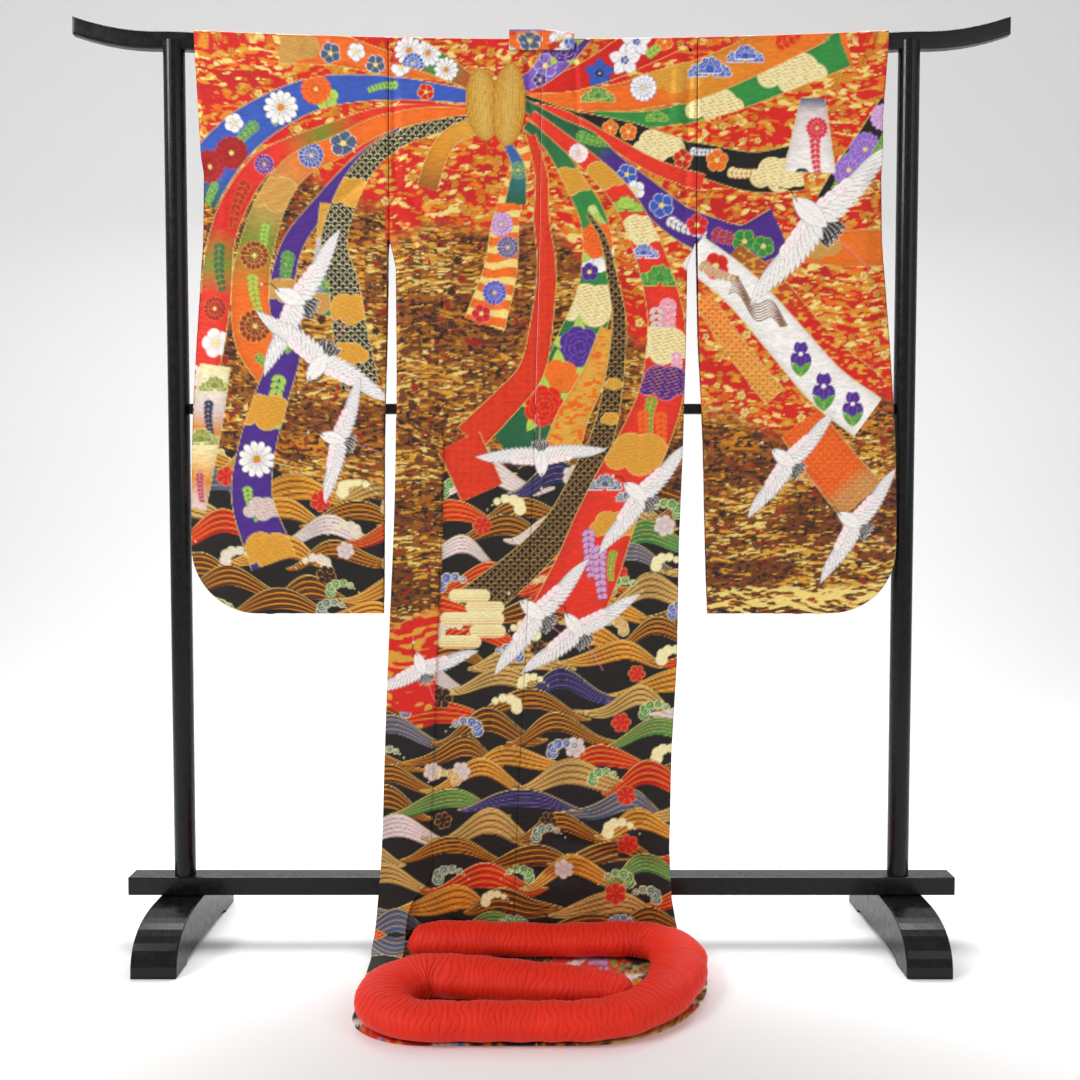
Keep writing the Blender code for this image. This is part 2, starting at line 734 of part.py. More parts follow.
def build_hem_roll(silk: bpy.types.Material) -> None:
    """The padded hem: a soft roll lofted through its sections, flattened by its weight."""
    points = roll_points()
    middle = np.array([(point.x, point.y) for point in points])
    along = np.gradient(middle, axis=0)
    along /= np.linalg.norm(along, axis=1, keepdims=True)
    verts = []
    for (x, y), (along_x, along_y), point in zip(middle, along, points):
        for side in range(ROLL_SIDES):
            angle = 2 * math.pi * side / ROLL_SIDES
            out = point.half * math.cos(angle)
            height = ROLL_LOW + point.high / 2 * (1.0 + math.sin(angle))
            verts.append((x + along_y * out, y - along_x * out, height))
    faces = [tuple(range(ROLL_SIDES))]
    for ring in range(len(points) - 1):
        for side in range(ROLL_SIDES):
            after = (side + 1) % ROLL_SIDES
            low, high = ring * ROLL_SIDES, (ring + 1) * ROLL_SIDES
            faces.append((low + after, low + side, high + side, high + after))
    last = (len(points) - 1) * ROLL_SIDES
    faces.append(tuple(last + side for side in reversed(range(ROLL_SIDES))))
    mesh = bpy.data.meshes.new("hem_roll")
    mesh.from_pydata(verts, [], faces)
    shape = bmesh.new()
    shape.from_mesh(mesh)
    bmesh.ops.recalc_face_normals(shape, faces=shape.faces)
    shape.to_mesh(mesh)
    shape.free()
    mesh.shade_smooth()
    add_object("hem_roll", mesh, silk)


def spread_edge(turn: Turn, back: float) -> list:
    """Outer edge of the laid hem round one turn of the roll, as steps from its middle."""
    side = turn.reach_x + SPREAD_SIDE
    points = []
    for degrees in range(-90, 91, 15):
        angle = math.radians(degrees)
        reach = turn.y - SPREAD_FRONT if degrees < 0 else back
        points.append((side * math.cos(angle), turn.y + reach * math.sin(angle)))
    return points


def lay_on_floor(name: str, outline: list, brocade: bpy.types.Material) -> None:
    """Make a flat piece of cloth of an outline, lying just above the floor."""
    part = extrude_outline(name, outline, CLOTH / 2, brocade)
    part.data.transform(Matrix.Translation((0.0, 0.0, SPREAD_LOW + CLOTH / 2)))


def build_spread_hem(brocade: bpy.types.Material) -> None:
    """The fronts' lower ends, laid forward on the floor under the padded hem."""
    split = SPREAD_SPLIT + SEAM / 2
    edge = spread_edge(RIGHT_FRONT, SPREAD_BACK - RIGHT_FRONT.y)
    right = [(RIGHT_FRONT.x + x, y) for x, y in edge]
    lay_on_floor("hem_spread_right", [(split, SPREAD_BACK), (split, SPREAD_FRONT)] + right, brocade)

    split = SPREAD_SPLIT - SEAM / 2
    edge = [(x, y) for x, y in spread_edge(LEFT_TURN, 0.0) if y < LEFT_TURN.y]
    left = [(LEFT_TURN.x - x, y) for x, y in edge]
    left.append((LEFT_TURN.x - LEFT_TURN.reach_x - SPREAD_SIDE, SPREAD_BACK))
    lay_on_floor("hem_spread_left", [(split, SPREAD_BACK), (split, SPREAD_FRONT)] + left, brocade)


# ---------------------------------------------------------------- the whole part
def build() -> None:
    """Clear the scene and build every piece."""
    for thing in list(bpy.data.objects):
        bpy.data.objects.remove(thing)
    for name in (COLLECTION, "cutters"):
        bpy.context.scene.collection.children.link(bpy.data.collections.new(name))

    lacquer = make_material("black_lacquer", (0.006, 0.006, 0.007), 0.12, 0.0)
    brocade = make_material("gold_brocade", (0.42, 0.13, 0.04), 0.55, 0.2)
    silk = make_material("vermilion_silk", (0.86, 0.04, 0.01), 0.60, 0.0)

    build_top_bar(lacquer)
    build_rails(lacquer)
    for side, sign in (("left", -1.0), ("right", 1.0)):
        build_post(side, sign, lacquer)
        build_foot(side, sign, lacquer)

    build_backs(brocade)
    build_fronts(brocade)
    build_okumi(brocade)
    build_side_fold(brocade)
    build_sleeves(brocade)
    build_collar(brocade)
    build_spread_hem(brocade)
    build_hem_roll(silk)


build()
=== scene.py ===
"""Uchikake wedding kimono on its lacquered kimono stand: the dressed model.

The stand keeps its measured solids and gets black urushi lacquer. Each cloth solid is
replaced by a dense sheet on the same form, with its creases, and the sheet carries the
figured brocade, which is drawn full size on one Cartoon in metres and then woven in.
"""

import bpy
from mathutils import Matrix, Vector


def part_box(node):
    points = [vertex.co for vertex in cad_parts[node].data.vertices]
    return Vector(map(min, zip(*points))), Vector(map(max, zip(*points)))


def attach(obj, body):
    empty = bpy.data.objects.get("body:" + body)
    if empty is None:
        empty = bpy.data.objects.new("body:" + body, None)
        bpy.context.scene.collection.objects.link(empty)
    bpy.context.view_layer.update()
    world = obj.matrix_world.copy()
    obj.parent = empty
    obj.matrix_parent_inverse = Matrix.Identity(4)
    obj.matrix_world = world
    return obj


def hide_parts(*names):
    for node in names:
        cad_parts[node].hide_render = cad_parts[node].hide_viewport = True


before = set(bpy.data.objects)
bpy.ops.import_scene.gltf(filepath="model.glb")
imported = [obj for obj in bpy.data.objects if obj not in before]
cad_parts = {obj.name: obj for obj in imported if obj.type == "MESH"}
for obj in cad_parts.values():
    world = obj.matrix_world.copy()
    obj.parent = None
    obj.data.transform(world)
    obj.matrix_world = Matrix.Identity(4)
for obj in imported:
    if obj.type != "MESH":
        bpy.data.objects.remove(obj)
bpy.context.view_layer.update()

import logging
import math
from dataclasses import dataclass
from enum import Enum

import bpy
import numpy as np
from mathutils import Vector

LOG = logging.getLogger("uchikake")
MM = 0.001


# ---------------------------------------------------------------- colour
def linear(code: str) -> np.ndarray:
    """Turn one sRGB hex value into linear light.

    Args:
        code: six hex digits.

    Returns:
        Three linear values from 0 to 1.
    """
    value = np.array([int(code[place:place + 2], 16) for place in (0, 2, 4)]) / 255.0
    low = value / 12.92
    high = ((value + 0.055) / 1.055) ** 2.4
    return np.where(value <= 0.04045, low, high).astype(np.float32)


class Dye(Enum):
    """The silk and metal thread colours of the brocade, as sRGB hex."""

    RED = "D3190C"
    SCARLET = "E2301B"
    CRIMSON = "9C1414"
    ORANGE = "EC6A14"
    TAWNY = "D98A1E"
    GOLD = "DDA13A"
    PALE_GOLD = "F0D67C"
    CREAM = "F1E6AE"
    STRAW = "C99A52"
    BRONZE = "9A5A1C"
    BROWN = "6A3512"
    UMBER = "33150B"
    BLACK = "130D0B"
    LEAF = "2F8A3C"
    MOSS = "7C8A24"
    LIME = "B4CF52"
    PINE = "1F5B3A"
    TEAL = "2C6E74"
    BLUE = "3557B4"
    SLATE = "4B5B78"
    NAVY = "1B1C38"
    PURPLE = "4A2384"
    VIOLET = "8A62C4"
    LILAC = "D7A9D4"
    PEARL = "DCCBC8"
    WHITE = "F4EEE8"
    ASH = "9A9CA8"
    PINK = "E889A4"

    @property
    def light(self) -> np.ndarray:
        """The dye in linear light."""
        return linear(self.value)


# ---------------------------------------------------------------- the drawing
def smooth(value: np.ndarray, low: float = 0.0, high: float = 1.0) -> np.ndarray:
    """Rise from 0 at low to 1 at high, level at both ends."""
    share = np.clip((np.asarray(value) - low) / (high - low), 0.0, 1.0)
    return share * share * (3.0 - 2.0 * share)


def stretched_noise(
    rng: np.random.Generator, x: np.ndarray, z: np.ndarray, wide: float, high: float,
) -> np.ndarray:
    """Smooth random values from 0 to 1 whose spots are wide by high metres.

    The values sit on a coarse random lattice and are joined by cubic steps.

    Args:
        rng: seeded source.
        x: places across, as a row.
        z: places up, as a column.
        wide: size of a spot across.
        high: size of a spot up.

    Returns:
        One value for each place.
    """
    across, up = ((x - x.min()) / wide)[None, :], ((z - z.min()) / high)[:, None]
    lattice = rng.random((int(up.max()) + 3, int(across.max()) + 3)).astype(np.float32)
    col, row = across.astype(int), up.astype(int)
    part_x, part_z = smooth(across - col), smooth(up - row)
    low = lattice[row, col] * (1 - part_x) + lattice[row, col + 1] * part_x
    high_row = lattice[row + 1, col] * (1 - part_x) + lattice[row + 1, col + 1] * part_x
    return low * (1 - part_z) + high_row * part_z


@dataclass
class Patch:
    """A window of the cartoon with its own coordinates."""

    rows: slice
    cols: slice
    x: np.ndarray
    z: np.ndarray


@dataclass
class Cartoon:
    """The full-size colour drawing that the brocade is woven from.

    It is one grid of cells over the hanging garment, each with a colour, a share of
    metal thread and a height. Every motif is a formula laid over a small window.
    """

    left: float = -0.72
    right: float = 0.73
    low: float = -0.02
    high: float = 1.98
    cell: float = 1.25 * MM
    seed: int = 11
    clip: np.ndarray = None

    def __post_init__(self) -> None:
        """Lay out the cells."""
        self.rng = np.random.default_rng(self.seed)
        self.xs = np.arange(self.left, self.right, self.cell, dtype=np.float32)
        self.zs = np.arange(self.low, self.high, self.cell, dtype=np.float32)
        shape = (len(self.zs), len(self.xs))
        self.rgb = np.zeros(shape + (3,), np.float32)
        self.metal = np.zeros(shape, np.float32)
        self.relief = np.zeros(shape, np.float32)

    def patch(self, x: float, z: float, reach_x: float, reach_z: float) -> Patch:
        """The window of cells within a reach of a place."""
        col = np.clip(np.array([x - reach_x - self.left, x + reach_x - self.left]) / self.cell, 0, len(self.xs))
        row = np.clip(np.array([z - reach_z - self.low, z + reach_z - self.low]) / self.cell, 0, len(self.zs))
        rows, cols = slice(int(row[0]), int(row[1]) + 1), slice(int(col[0]), int(col[1]) + 1)
        return Patch(rows, cols, self.xs[cols][None, :] - x, self.zs[rows][:, None] - z)

    def whole(self) -> Patch:
        """The whole cartoon as one window, in garment metres."""
        return Patch(slice(None), slice(None), self.xs[None, :], self.zs[:, None])

    def cover(self, distance: np.ndarray, soft: float = 1.0) -> np.ndarray:
        """Share of a cell inside a shape, from the signed distance to its edge."""
        return np.clip(0.5 - distance / (self.cell * soft), 0.0, 1.0)

    def lay(
        self, patch: Patch, share: np.ndarray, colour, metal: float = None, relief: float = None,
    ) -> None:
        """Lay a colour over a window.

        Args:
            patch: the window.
            share: how much of each cell the new colour covers.
            colour: a Dye, three linear values, or one colour for each cell.
            metal: share of metal thread in what is laid, or None to keep it.
            relief: height of what is laid, or None to keep it.
        """
        tint = colour.light if isinstance(colour, Dye) else colour
        part = share if self.clip is None else share * self.clip[patch.rows, patch.cols]
        wide = part[..., None]
        under = self.rgb[patch.rows, patch.cols]
        self.rgb[patch.rows, patch.cols] = under + (tint - under) * wide
        for field_, value in ((self.metal, metal), (self.relief, relief)):
            if value is not None:
                was = field_[patch.rows, patch.cols]
                field_[patch.rows, patch.cols] = was + (value - was) * part

    def sample(self, x: np.ndarray, z: np.ndarray) -> tuple:
        """Read the drawing at places between its cells.

        Args:
            x: places across in garment metres.
            z: places up.

        Returns:
            Colour, metal and relief at each place.
        """
        col = np.clip((x - self.left) / self.cell, 0, len(self.xs) - 1.001)
        row = np.clip((z - self.low) / self.cell, 0, len(self.zs) - 1.001)
        c, r = col.astype(int), row.astype(int)
        u, v = (col - c).astype(np.float32), (row - r).astype(np.float32)
        out = []
        for layer in (self.rgb, self.metal, self.relief):
            a, b = (u[..., None], v[..., None]) if layer.ndim == 3 else (u, v)
            lower = layer[r, c] * (1 - a) + layer[r, c + 1] * a
            upper = layer[r + 1, c] * (1 - a) + layer[r + 1, c + 1] * a
            out.append(lower * (1 - b) + upper * b)
        return tuple(out)


@dataclass
class Needle:
    """Draws single motifs on the cartoon, each from its own formula."""

    art: Cartoon

    def leaf(
        self, x: float, z: float, length: float, width: float, turn: float, colour: Dye,
        vein: Dye = None, metal: float = 0.1,
    ) -> None:
        """A leaf or feather: its half width is width * sin(pi * along / length) ** 0.8."""
        mid = (x + length / 2 * math.cos(turn), z + length / 2 * math.sin(turn))
        patch = self.art.patch(*mid, length / 2 + width, length / 2 + width)
        along = patch.x * math.cos(turn) + patch.z * math.sin(turn)
        out = np.abs(patch.z * math.cos(turn) - patch.x * math.sin(turn))
        share = np.clip(along / length + 0.5, 0.0, 1.0)
        half = width * np.clip(np.sin(np.pi * share), 0.0, 1.0) ** 0.8
        edge = np.maximum(out - half, np.abs(along) - length / 2)
        if vein is not None:
            self.art.lay(patch, self.art.cover(edge - 0.9 * MM), vein, metal, 0.45)
        self.art.lay(patch, self.art.cover(edge), colour, metal, 0.6)
        if vein is not None:
            line = np.maximum(out - 0.35 * MM, np.abs(along) - 0.4 * length)
            self.art.lay(patch, self.art.cover(line) * 0.7, vein)

    def thread(self, points: tuple, width: float, colour: Dye, metal: float = 0.1) -> None:
        """A couched line through points: the distance to each straight piece, less its half width."""
        for (ax, az), (bx, bz) in zip(points, points[1:]):
            long = math.hypot(bx - ax, bz - az) + 1e-9
            patch = self.art.patch((ax + bx) / 2, (az + bz) / 2, long / 2 + width, long / 2 + width)
            dx, dz = (bx - ax) / long, (bz - az) / long
            along = np.clip(patch.x * dx + patch.z * dz, -long / 2, long / 2)
            away = np.hypot(patch.x - along * dx, patch.z - along * dz)
            self.art.lay(patch, self.art.cover(away - width / 2), colour, metal, 0.6)

    def disc(self, x: float, z: float, size: float, colour: Dye, metal: float = 0.1) -> None:
        """A round dot."""
        patch = self.art.patch(x, z, size * 1.3, size * 1.3)
        self.art.lay(patch, self.art.cover(np.hypot(patch.x, patch.z) - size), colour, metal, 0.6)

    def bloom(
        self, x: float, z: float, size: float, petals: int, fill: Dye, edge: Dye,
        heart: Dye = Dye.PALE_GOLD, turn: float = 0.0, notch: float = 0.24, metal: float = 0.1,
    ) -> None:
        """A flower: its rim is size * (1 - notch + notch * |cos(petals * angle / 2)| ** 0.55)."""
        art = self.art
        patch = art.patch(x, z, size * 1.1, size * 1.1)
        far = np.hypot(patch.x, patch.z)
        angle = np.arctan2(patch.z, patch.x) + turn
        wave = np.abs(np.cos(petals * angle / 2))
        rim = size * (1.0 - notch + notch * wave ** 0.55)
        art.lay(patch, art.cover(far - rim), edge, 0.35, 0.75)
        tone = fill.light[None, None, :] * (0.72 + 0.38 * np.clip(far / size, 0, 1))[..., None]
        art.lay(patch, art.cover(far - rim + 1.0 * MM), tone, metal, 0.8)
        gap = far * wave * 2.0 / petals
        split = art.cover(gap - 0.4 * MM) * (far < rim) * (far > size * 0.25)
        art.lay(patch, split * 0.85, edge, 0.35, 0.5)
        art.lay(patch, art.cover(far - size * 0.22), heart, 0.4, 0.9)

    def peony(self, x: float, z: float, size: float, fill: Dye, edge: Dye) -> None:
        """A full flower: rings of notched petals, each ring smaller and turned."""
        for ring, (share, petals) in enumerate(((1.0, 7), (0.76, 6), (0.52, 5), (0.3, 4))):
            self.bloom(x, z, size * share, petals, fill, edge, fill, 0.7 * ring, 0.16, 0.15)

    def mum(self, x: float, z: float, size: float, fill: Dye, edge: Dye, heart: Dye) -> None:
        """A chrysanthemum: two rings of narrow petals."""
        self.bloom(x, z, size, 15, fill, edge, heart, 0.0, 0.16)
        self.bloom(x, z, size * 0.62, 12, fill, edge, heart, 0.3, 0.2)

    def pine(self, x: float, z: float, size: float, fill: Dye, edge: Dye) -> None:
        """A pine bough: three domes with needles that spread from each one's foot."""
        art = self.art
        for step, up, share in ((-0.62, -0.1, 0.58), (0.62, -0.12, 0.56), (0.0, 0.12, 0.72)):
            r = size * share
            patch = art.patch(x + step * size, z + up * size, r * 1.2, r * 1.2)
            far = np.hypot(patch.x, patch.z)
            angle = np.arctan2(patch.z, patch.x)
            rim = r * (0.93 + 0.07 * np.cos(9.0 * angle))
            dome = np.maximum(far - rim, -patch.z - 0.3 * r)
            art.lay(patch, art.cover(dome), edge, 0.3, 0.6)
            art.lay(patch, art.cover(dome + 1.4 * MM), fill, 0.1, 0.75)
            hair = np.abs(np.sin(11.0 * angle)) * far / 11.0
            mark = art.cover(hair - 0.3 * MM) * (far > 0.3 * r) * (dome < -2.0 * MM)
            art.lay(patch, mark * 0.8, edge, 0.3, 0.5)

    def cloud(self, x: float, z: float, wide: float, high: float, colour: Dye, edge: Dye) -> None:
        """A cloud: five round heads along a bar, with one outline round them all."""
        art = self.art
        patch = art.patch(x, z, wide, high * 1.6)
        shape = np.full(np.broadcast_shapes(patch.x.shape, patch.z.shape), 1.0, np.float32)
        for step, up, share in ((-0.6, -0.2, 0.5), (-0.25, 0.3, 0.7), (0.2, 0.1, 0.85), (0.6, -0.1, 0.55),
            (0.0, -0.4, 0.6)):
            far = np.hypot((patch.x - step * wide) * 0.9, patch.z - up * high)
            shape = np.minimum(shape, far - share * high)
        art.lay(patch, art.cover(shape - 0.9 * MM), edge, 0.4, 0.5)
        art.lay(patch, art.cover(shape), colour, 0.6, 0.65)
        hatch = np.sin(patch.z * 1150.0 + 2.0 * np.sin(patch.x * 120.0)) * np.sin(patch.x * 270.0 + patch.z * 210.0)
        art.lay(patch, art.cover(shape + 2.0 * MM) * smooth(hatch, 0.25, 0.55) * 0.75, Dye.TAWNY, 0.7, 0.9)

    def mist(self, x: float, z: float, wide: float, colour: Dye) -> None:
        """Bars of mist: rounded bars of uneven length, one over another."""
        art = self.art
        bars = ((-0.10, 0.045, 0.55), (0.20, 0.022, 0.5), (-0.05, 0.0, 1.0), (0.25, -0.024, 0.45), (-0.3, -0.045, 0.6))
        for step, up, share in bars:
            patch = art.patch(x + step * wide, z + up, wide * share + 0.02, 0.02)
            reach = wide * share * 0.5
            far = np.hypot(np.maximum(np.abs(patch.x) - reach, 0.0), patch.z) - 0.0125
            art.lay(patch, art.cover(far), colour, 0.5, 0.6)
            lines = np.abs(patch.z / (5 * MM) - np.round(patch.z / (5 * MM))) * 5 * MM
            art.lay(patch, art.cover(far + 1.2 * MM) * art.cover(lines - 0.5 * MM) * 0.8, Dye.TAWNY, 0.7, 0.9)

    def trail(
        self, x: float, z: float, length: float, turn: float, colour: Dye, vein: Dye,
        pairs: int = 7, bend: float = 0.0,
    ) -> None:
        """A trail of paired leaflets, smaller towards its tip: wisteria, fern or a leafy spray."""
        size = length / pairs * 1.5
        for pair in range(pairs):
            share = pair / pairs
            lean = turn + bend * share
            px = x + length * share * math.cos(turn + bend * share / 2)
            pz = z + length * share * math.sin(turn + bend * share / 2)
            for side in (-1, 1):
                self.leaf(px, pz, size * (1 - 0.45 * share), size * 0.24, lean + side * 0.75, colour, vein)

    def iris(self, x: float, z: float, size: float) -> None:
        """An iris: blades behind, three drooping purple falls and a white throat."""
        for lean, share in ((1.9, 1.7), (1.55, 2.1), (1.2, 1.6), (2.2, 1.1), (0.95, 1.2)):
            self.leaf(x, z - size * 1.5, size * share, size * 0.14, lean, Dye.LEAF, Dye.LIME)
        for lean in (-2.5, -0.64, -1.57, 1.9, 1.25):
            self.leaf(x, z, size * 0.85, size * 0.32, lean, Dye.PURPLE, Dye.VIOLET)
        self.disc(x, z, size * 0.14, Dye.WHITE)

    def bells(self, x: float, z: float, size: float, fill: Dye, edge: Dye) -> None:
        """A bellflower: five pointed petals with a dark star."""
        for petal in range(5):
            turn = 1.57 + 2 * math.pi * petal / 5
            self.leaf(x, z, size, size * 0.36, turn, fill, edge)
        self.bloom(x, z, size * 0.3, 5, edge, fill, Dye.PALE_GOLD)

    def spray(self, x: float, z: float, size: float, colour: Dye, lean: float) -> None:
        """Foam where a wave breaks: five round curls on an arc, each with a cream edge and a spiral."""
        art = self.art
        for place, bend in enumerate((-0.2, 0.45, 1.05, 1.7, 2.4)):
            radius = size * (0.36, 0.34, 0.31, 0.26, 0.20)[place]
            cx = x - lean * size * 0.85 * math.cos(bend)
            cz = z + size * 0.55 * math.sin(bend)
            patch = art.patch(cx, cz, radius + 3 * MM, radius + 3 * MM)
            far = np.hypot(patch.x, patch.z)
            art.lay(patch, art.cover(far - radius - 1.0 * MM), Dye.CREAM, 0.3, 0.8)
            art.lay(patch, art.cover(far - radius + 0.4 * MM), colour, 0.1, 0.6)
            turn = np.arctan2(patch.z, patch.x * lean) / (2 * np.pi) + 0.12 * place
            arm = far / radius * 1.6 - turn
            line = np.abs(arm - np.round(arm)) * radius / 1.6
            art.lay(patch, art.cover(line - 0.5 * MM) * art.cover(far - radius + 1.4 * MM), Dye.CREAM, 0.3, 0.8)
        for place in range(4):
            self.disc(x + lean * size * (0.3 + 0.32 * place), z + size * (0.75 - 0.3 * place), 1.5 * MM, Dye.CREAM)

    def crane(self, x: float, z: float, size: float, turn: float, lean: float) -> None:
        """A flying crane: fans of white feathers, a black neck and tail, a red crown.

        Args:
            x: place of its breast, across.
            z: the same, up.
            size: length of a wing.
            turn: direction of flight, in radians.
            lean: 1 or -1, the side on which its raised wing is.
        """
        head = (math.cos(turn), math.sin(turn))
        side = (-head[1] * lean, head[0] * lean)

        def at(ahead: float, out: float) -> tuple:
            """A place given along the flight and out to the raised wing, in wing lengths."""
            return (x + size * (ahead * head[0] + out * side[0]), z + size * (ahead * head[1] + out * side[1]))

        def bearing(ahead: float, out: float) -> float:
            """The direction of a step given in the same way."""
            return math.atan2(ahead * head[1] + out * side[1], ahead * head[0] + out * side[0])

        self.thread((at(-0.25, -0.03), at(-0.62, -0.02), at(-0.82, -0.05)), 1.1 * MM, Dye.PINK)
        for tail in range(5):
            self.leaf(*at(-0.12, 0.03 - 0.02 * tail), size * 0.26, size * 0.045,
                bearing(-1.0, 0.35 - 0.2 * tail), Dye.BLACK, Dye.WHITE)
        for wing, sweep in ((1.0, -0.18), (-1.0, 0.12)):
            for feather in range(14):
                share = 1.0 - feather / 13
                root = at(0.02 + 0.10 * share + sweep * share * wing, wing * 0.58 * share)
                way = bearing(-0.62 + 0.52 * share + sweep * wing, wing * (0.35 + 0.75 * share))
                long = size * (0.30 + 0.26 * share)
                self.leaf(*root, long, size * 0.042, way, Dye.WHITE, Dye.ASH)
            for cover in range(5):
                share = cover / 5
                root = at(0.05 + 0.08 * share + sweep * share * wing, wing * 0.5 * share)
                self.leaf(*root, size * 0.17, size * 0.05, bearing(-0.5, wing * 0.9), Dye.WHITE, Dye.PINK)
        self.leaf(*at(-0.2, 0.0), size * 0.46, size * 0.105, turn, Dye.WHITE, Dye.ASH)
        self.thread((at(0.2, 0.0), at(0.34, 0.05), at(0.44, 0.0)), 2.2 * MM, Dye.BLACK)
        self.disc(*at(0.46, -0.01), 2.2 * MM, Dye.WHITE)
        self.disc(*at(0.47, 0.015), 1.2 * MM, Dye.RED)
        self.thread((at(0.48, -0.02), at(0.60, -0.06)), 1.0 * MM, Dye.STRAW)

    def wave(self, x: float, z: float, half: float, rise: float, thick: float, style: "Swell", skew: float) -> None:
        """One arched band of flowing water.

        The top edge is rise * (0.5 + 0.5 cos(pi * share)) over a share of the half length
        that is pushed to one side by the skew. The band is thickest at its crest, runs out
        to a point at each end, and its stripes keep a constant share of the depth.

        Args:
            x: middle of the arch.
            z: height of its ends.
            half: half length.
            rise: height of the crest over the ends.
            thick: thickness at the crest.
            style: the band's dyes.
            skew: how far its crest leans to one side, as a share of the half length.
        """
        art, dyes = self.art, style.value
        patch = art.patch(x, z + rise / 2 - thick / 4, half * 1.02, rise / 2 + thick)
        share = patch.x / half
        bent = share + skew * (1.0 - share ** 2)
        bell = 0.5 + 0.5 * np.cos(np.pi * np.clip(bent, -1.0, 1.0))
        deep = thick * (0.10 + 0.90 * bell ** 0.55)
        lift = rise * bell + 0.10 * thick * np.sin(5.0 * share + 40.0 * x)
        below = z + lift - (patch.z + z + rise / 2 - thick / 4)
        edge = np.maximum(np.maximum(-below, below - deep), (np.abs(share) - 1.0) * half)
        phase = below / deep * dyes.count + 0.15 * np.sin(4.0 * share)
        # painted sheen: the band's ground is lightened towards one stretch of its arch and in thread-like streaks,
        # standing in for satin sheen and gold glints
        painted_sheen = 0.80 + 0.30 * np.sin(3.0 * share + 0.8) ** 2 + 0.12 * np.sin(60.0 * share + 9.0 * phase)
        art.lay(patch, art.cover(edge - 1.0 * MM), Dye.BLACK, 0.0, 0.1)
        # the band's ground, laid with the painted sheen above
        art.lay(patch, art.cover(edge), dyes.ground.light[None, None, :] * painted_sheen[..., None], dyes.metal, 0.7)
        stripe = np.abs(phase - np.round(phase)) / dyes.count * deep
        wide = dyes.width * (0.35 + 0.65 * bell)
        inside = art.cover(edge + 0.5 * MM)
        art.lay(patch, art.cover(stripe - wide / 2) * inside, dyes.line, dyes.line_metal, 0.35)
        fine = np.abs(phase - np.round(phase - 0.5) - 0.5) / dyes.count * deep
        art.lay(patch, art.cover(fine - 0.5 * MM) * inside * 0.75, dyes.thin, 0.4, 0.5)
        art.lay(patch, art.cover(np.abs(below - 0.9 * MM) - 0.8 * MM) * inside, Dye.PALE_GOLD, 0.6, 0.9)


@dataclass(frozen=True)
class SwellDye:
    """Dyes of one arched band: ground, main stripes and thin lines between them."""

    ground: Dye
    line: Dye
    thin: Dye
    count: int
    width: float
    metal: float
    line_metal: float


class Swell(Enum):
    """The kinds of arched band in the water."""

    DARK = SwellDye(Dye.UMBER, Dye.TAWNY, Dye.BRONZE, 4, 3.4 * MM, 0.1, 0.8)
    GOLD = SwellDye(Dye.TAWNY, Dye.UMBER, Dye.PALE_GOLD, 4, 2.4 * MM, 0.75, 0.1)
    STRAW = SwellDye(Dye.STRAW, Dye.UMBER, Dye.PALE_GOLD, 4, 2.4 * MM, 0.7, 0.1)
    RED = SwellDye(Dye.RED, Dye.TAWNY, Dye.UMBER, 4, 2.6 * MM, 0.2, 0.6)
    PEARL = SwellDye(Dye.PEARL, Dye.BRONZE, Dye.WHITE, 5, 1.3 * MM, 0.1, 0.1)
    GREEN = SwellDye(Dye.LEAF, Dye.STRAW, Dye.PINE, 5, 1.7 * MM, 0.1, 0.6)
    SLATE = SwellDye(Dye.SLATE, Dye.STRAW, Dye.NAVY, 4, 1.7 * MM, 0.1, 0.5)
    MAUVE = SwellDye(Dye.NAVY, Dye.VIOLET, Dye.SLATE, 4, 1.5 * MM, 0.1, 0.3)


class Fill(Enum):
    """What is woven all over a ribbon before its motifs."""

    PLAIN = "plain"
    SCALLOP = "scallop"
    KANOKO = "kanoko"
    ZIGZAG = "zigzag"
    FLECK = "fleck"
    STRIPE = "stripe"


@dataclass(frozen=True)
class Ribbon:
    """One ribbon of the noshi bundle.

    Its path is a smooth curve through points in garment metres, it widens evenly from
    one half width to the other, and its ground changes along it from dye to dye.
    """

    name: str
    path: tuple
    start: float
    stop: float
    dyes: tuple
    fill: Fill = Fill.PLAIN
    second: Dye = Dye.GOLD
    motifs: tuple = ()

    @property
    def full(self) -> float:
        """Share of the stated width it is woven at: those that spring from the knot swell out."""
        return 1.0 if self.start > 15 * MM else 1.22


@dataclass(frozen=True)
class Motif:
    """One motif on a ribbon: its kind, place along and across, size and dyes."""

    kind: str
    along: float
    across: float
    size: float
    fill: Dye
    edge: Dye


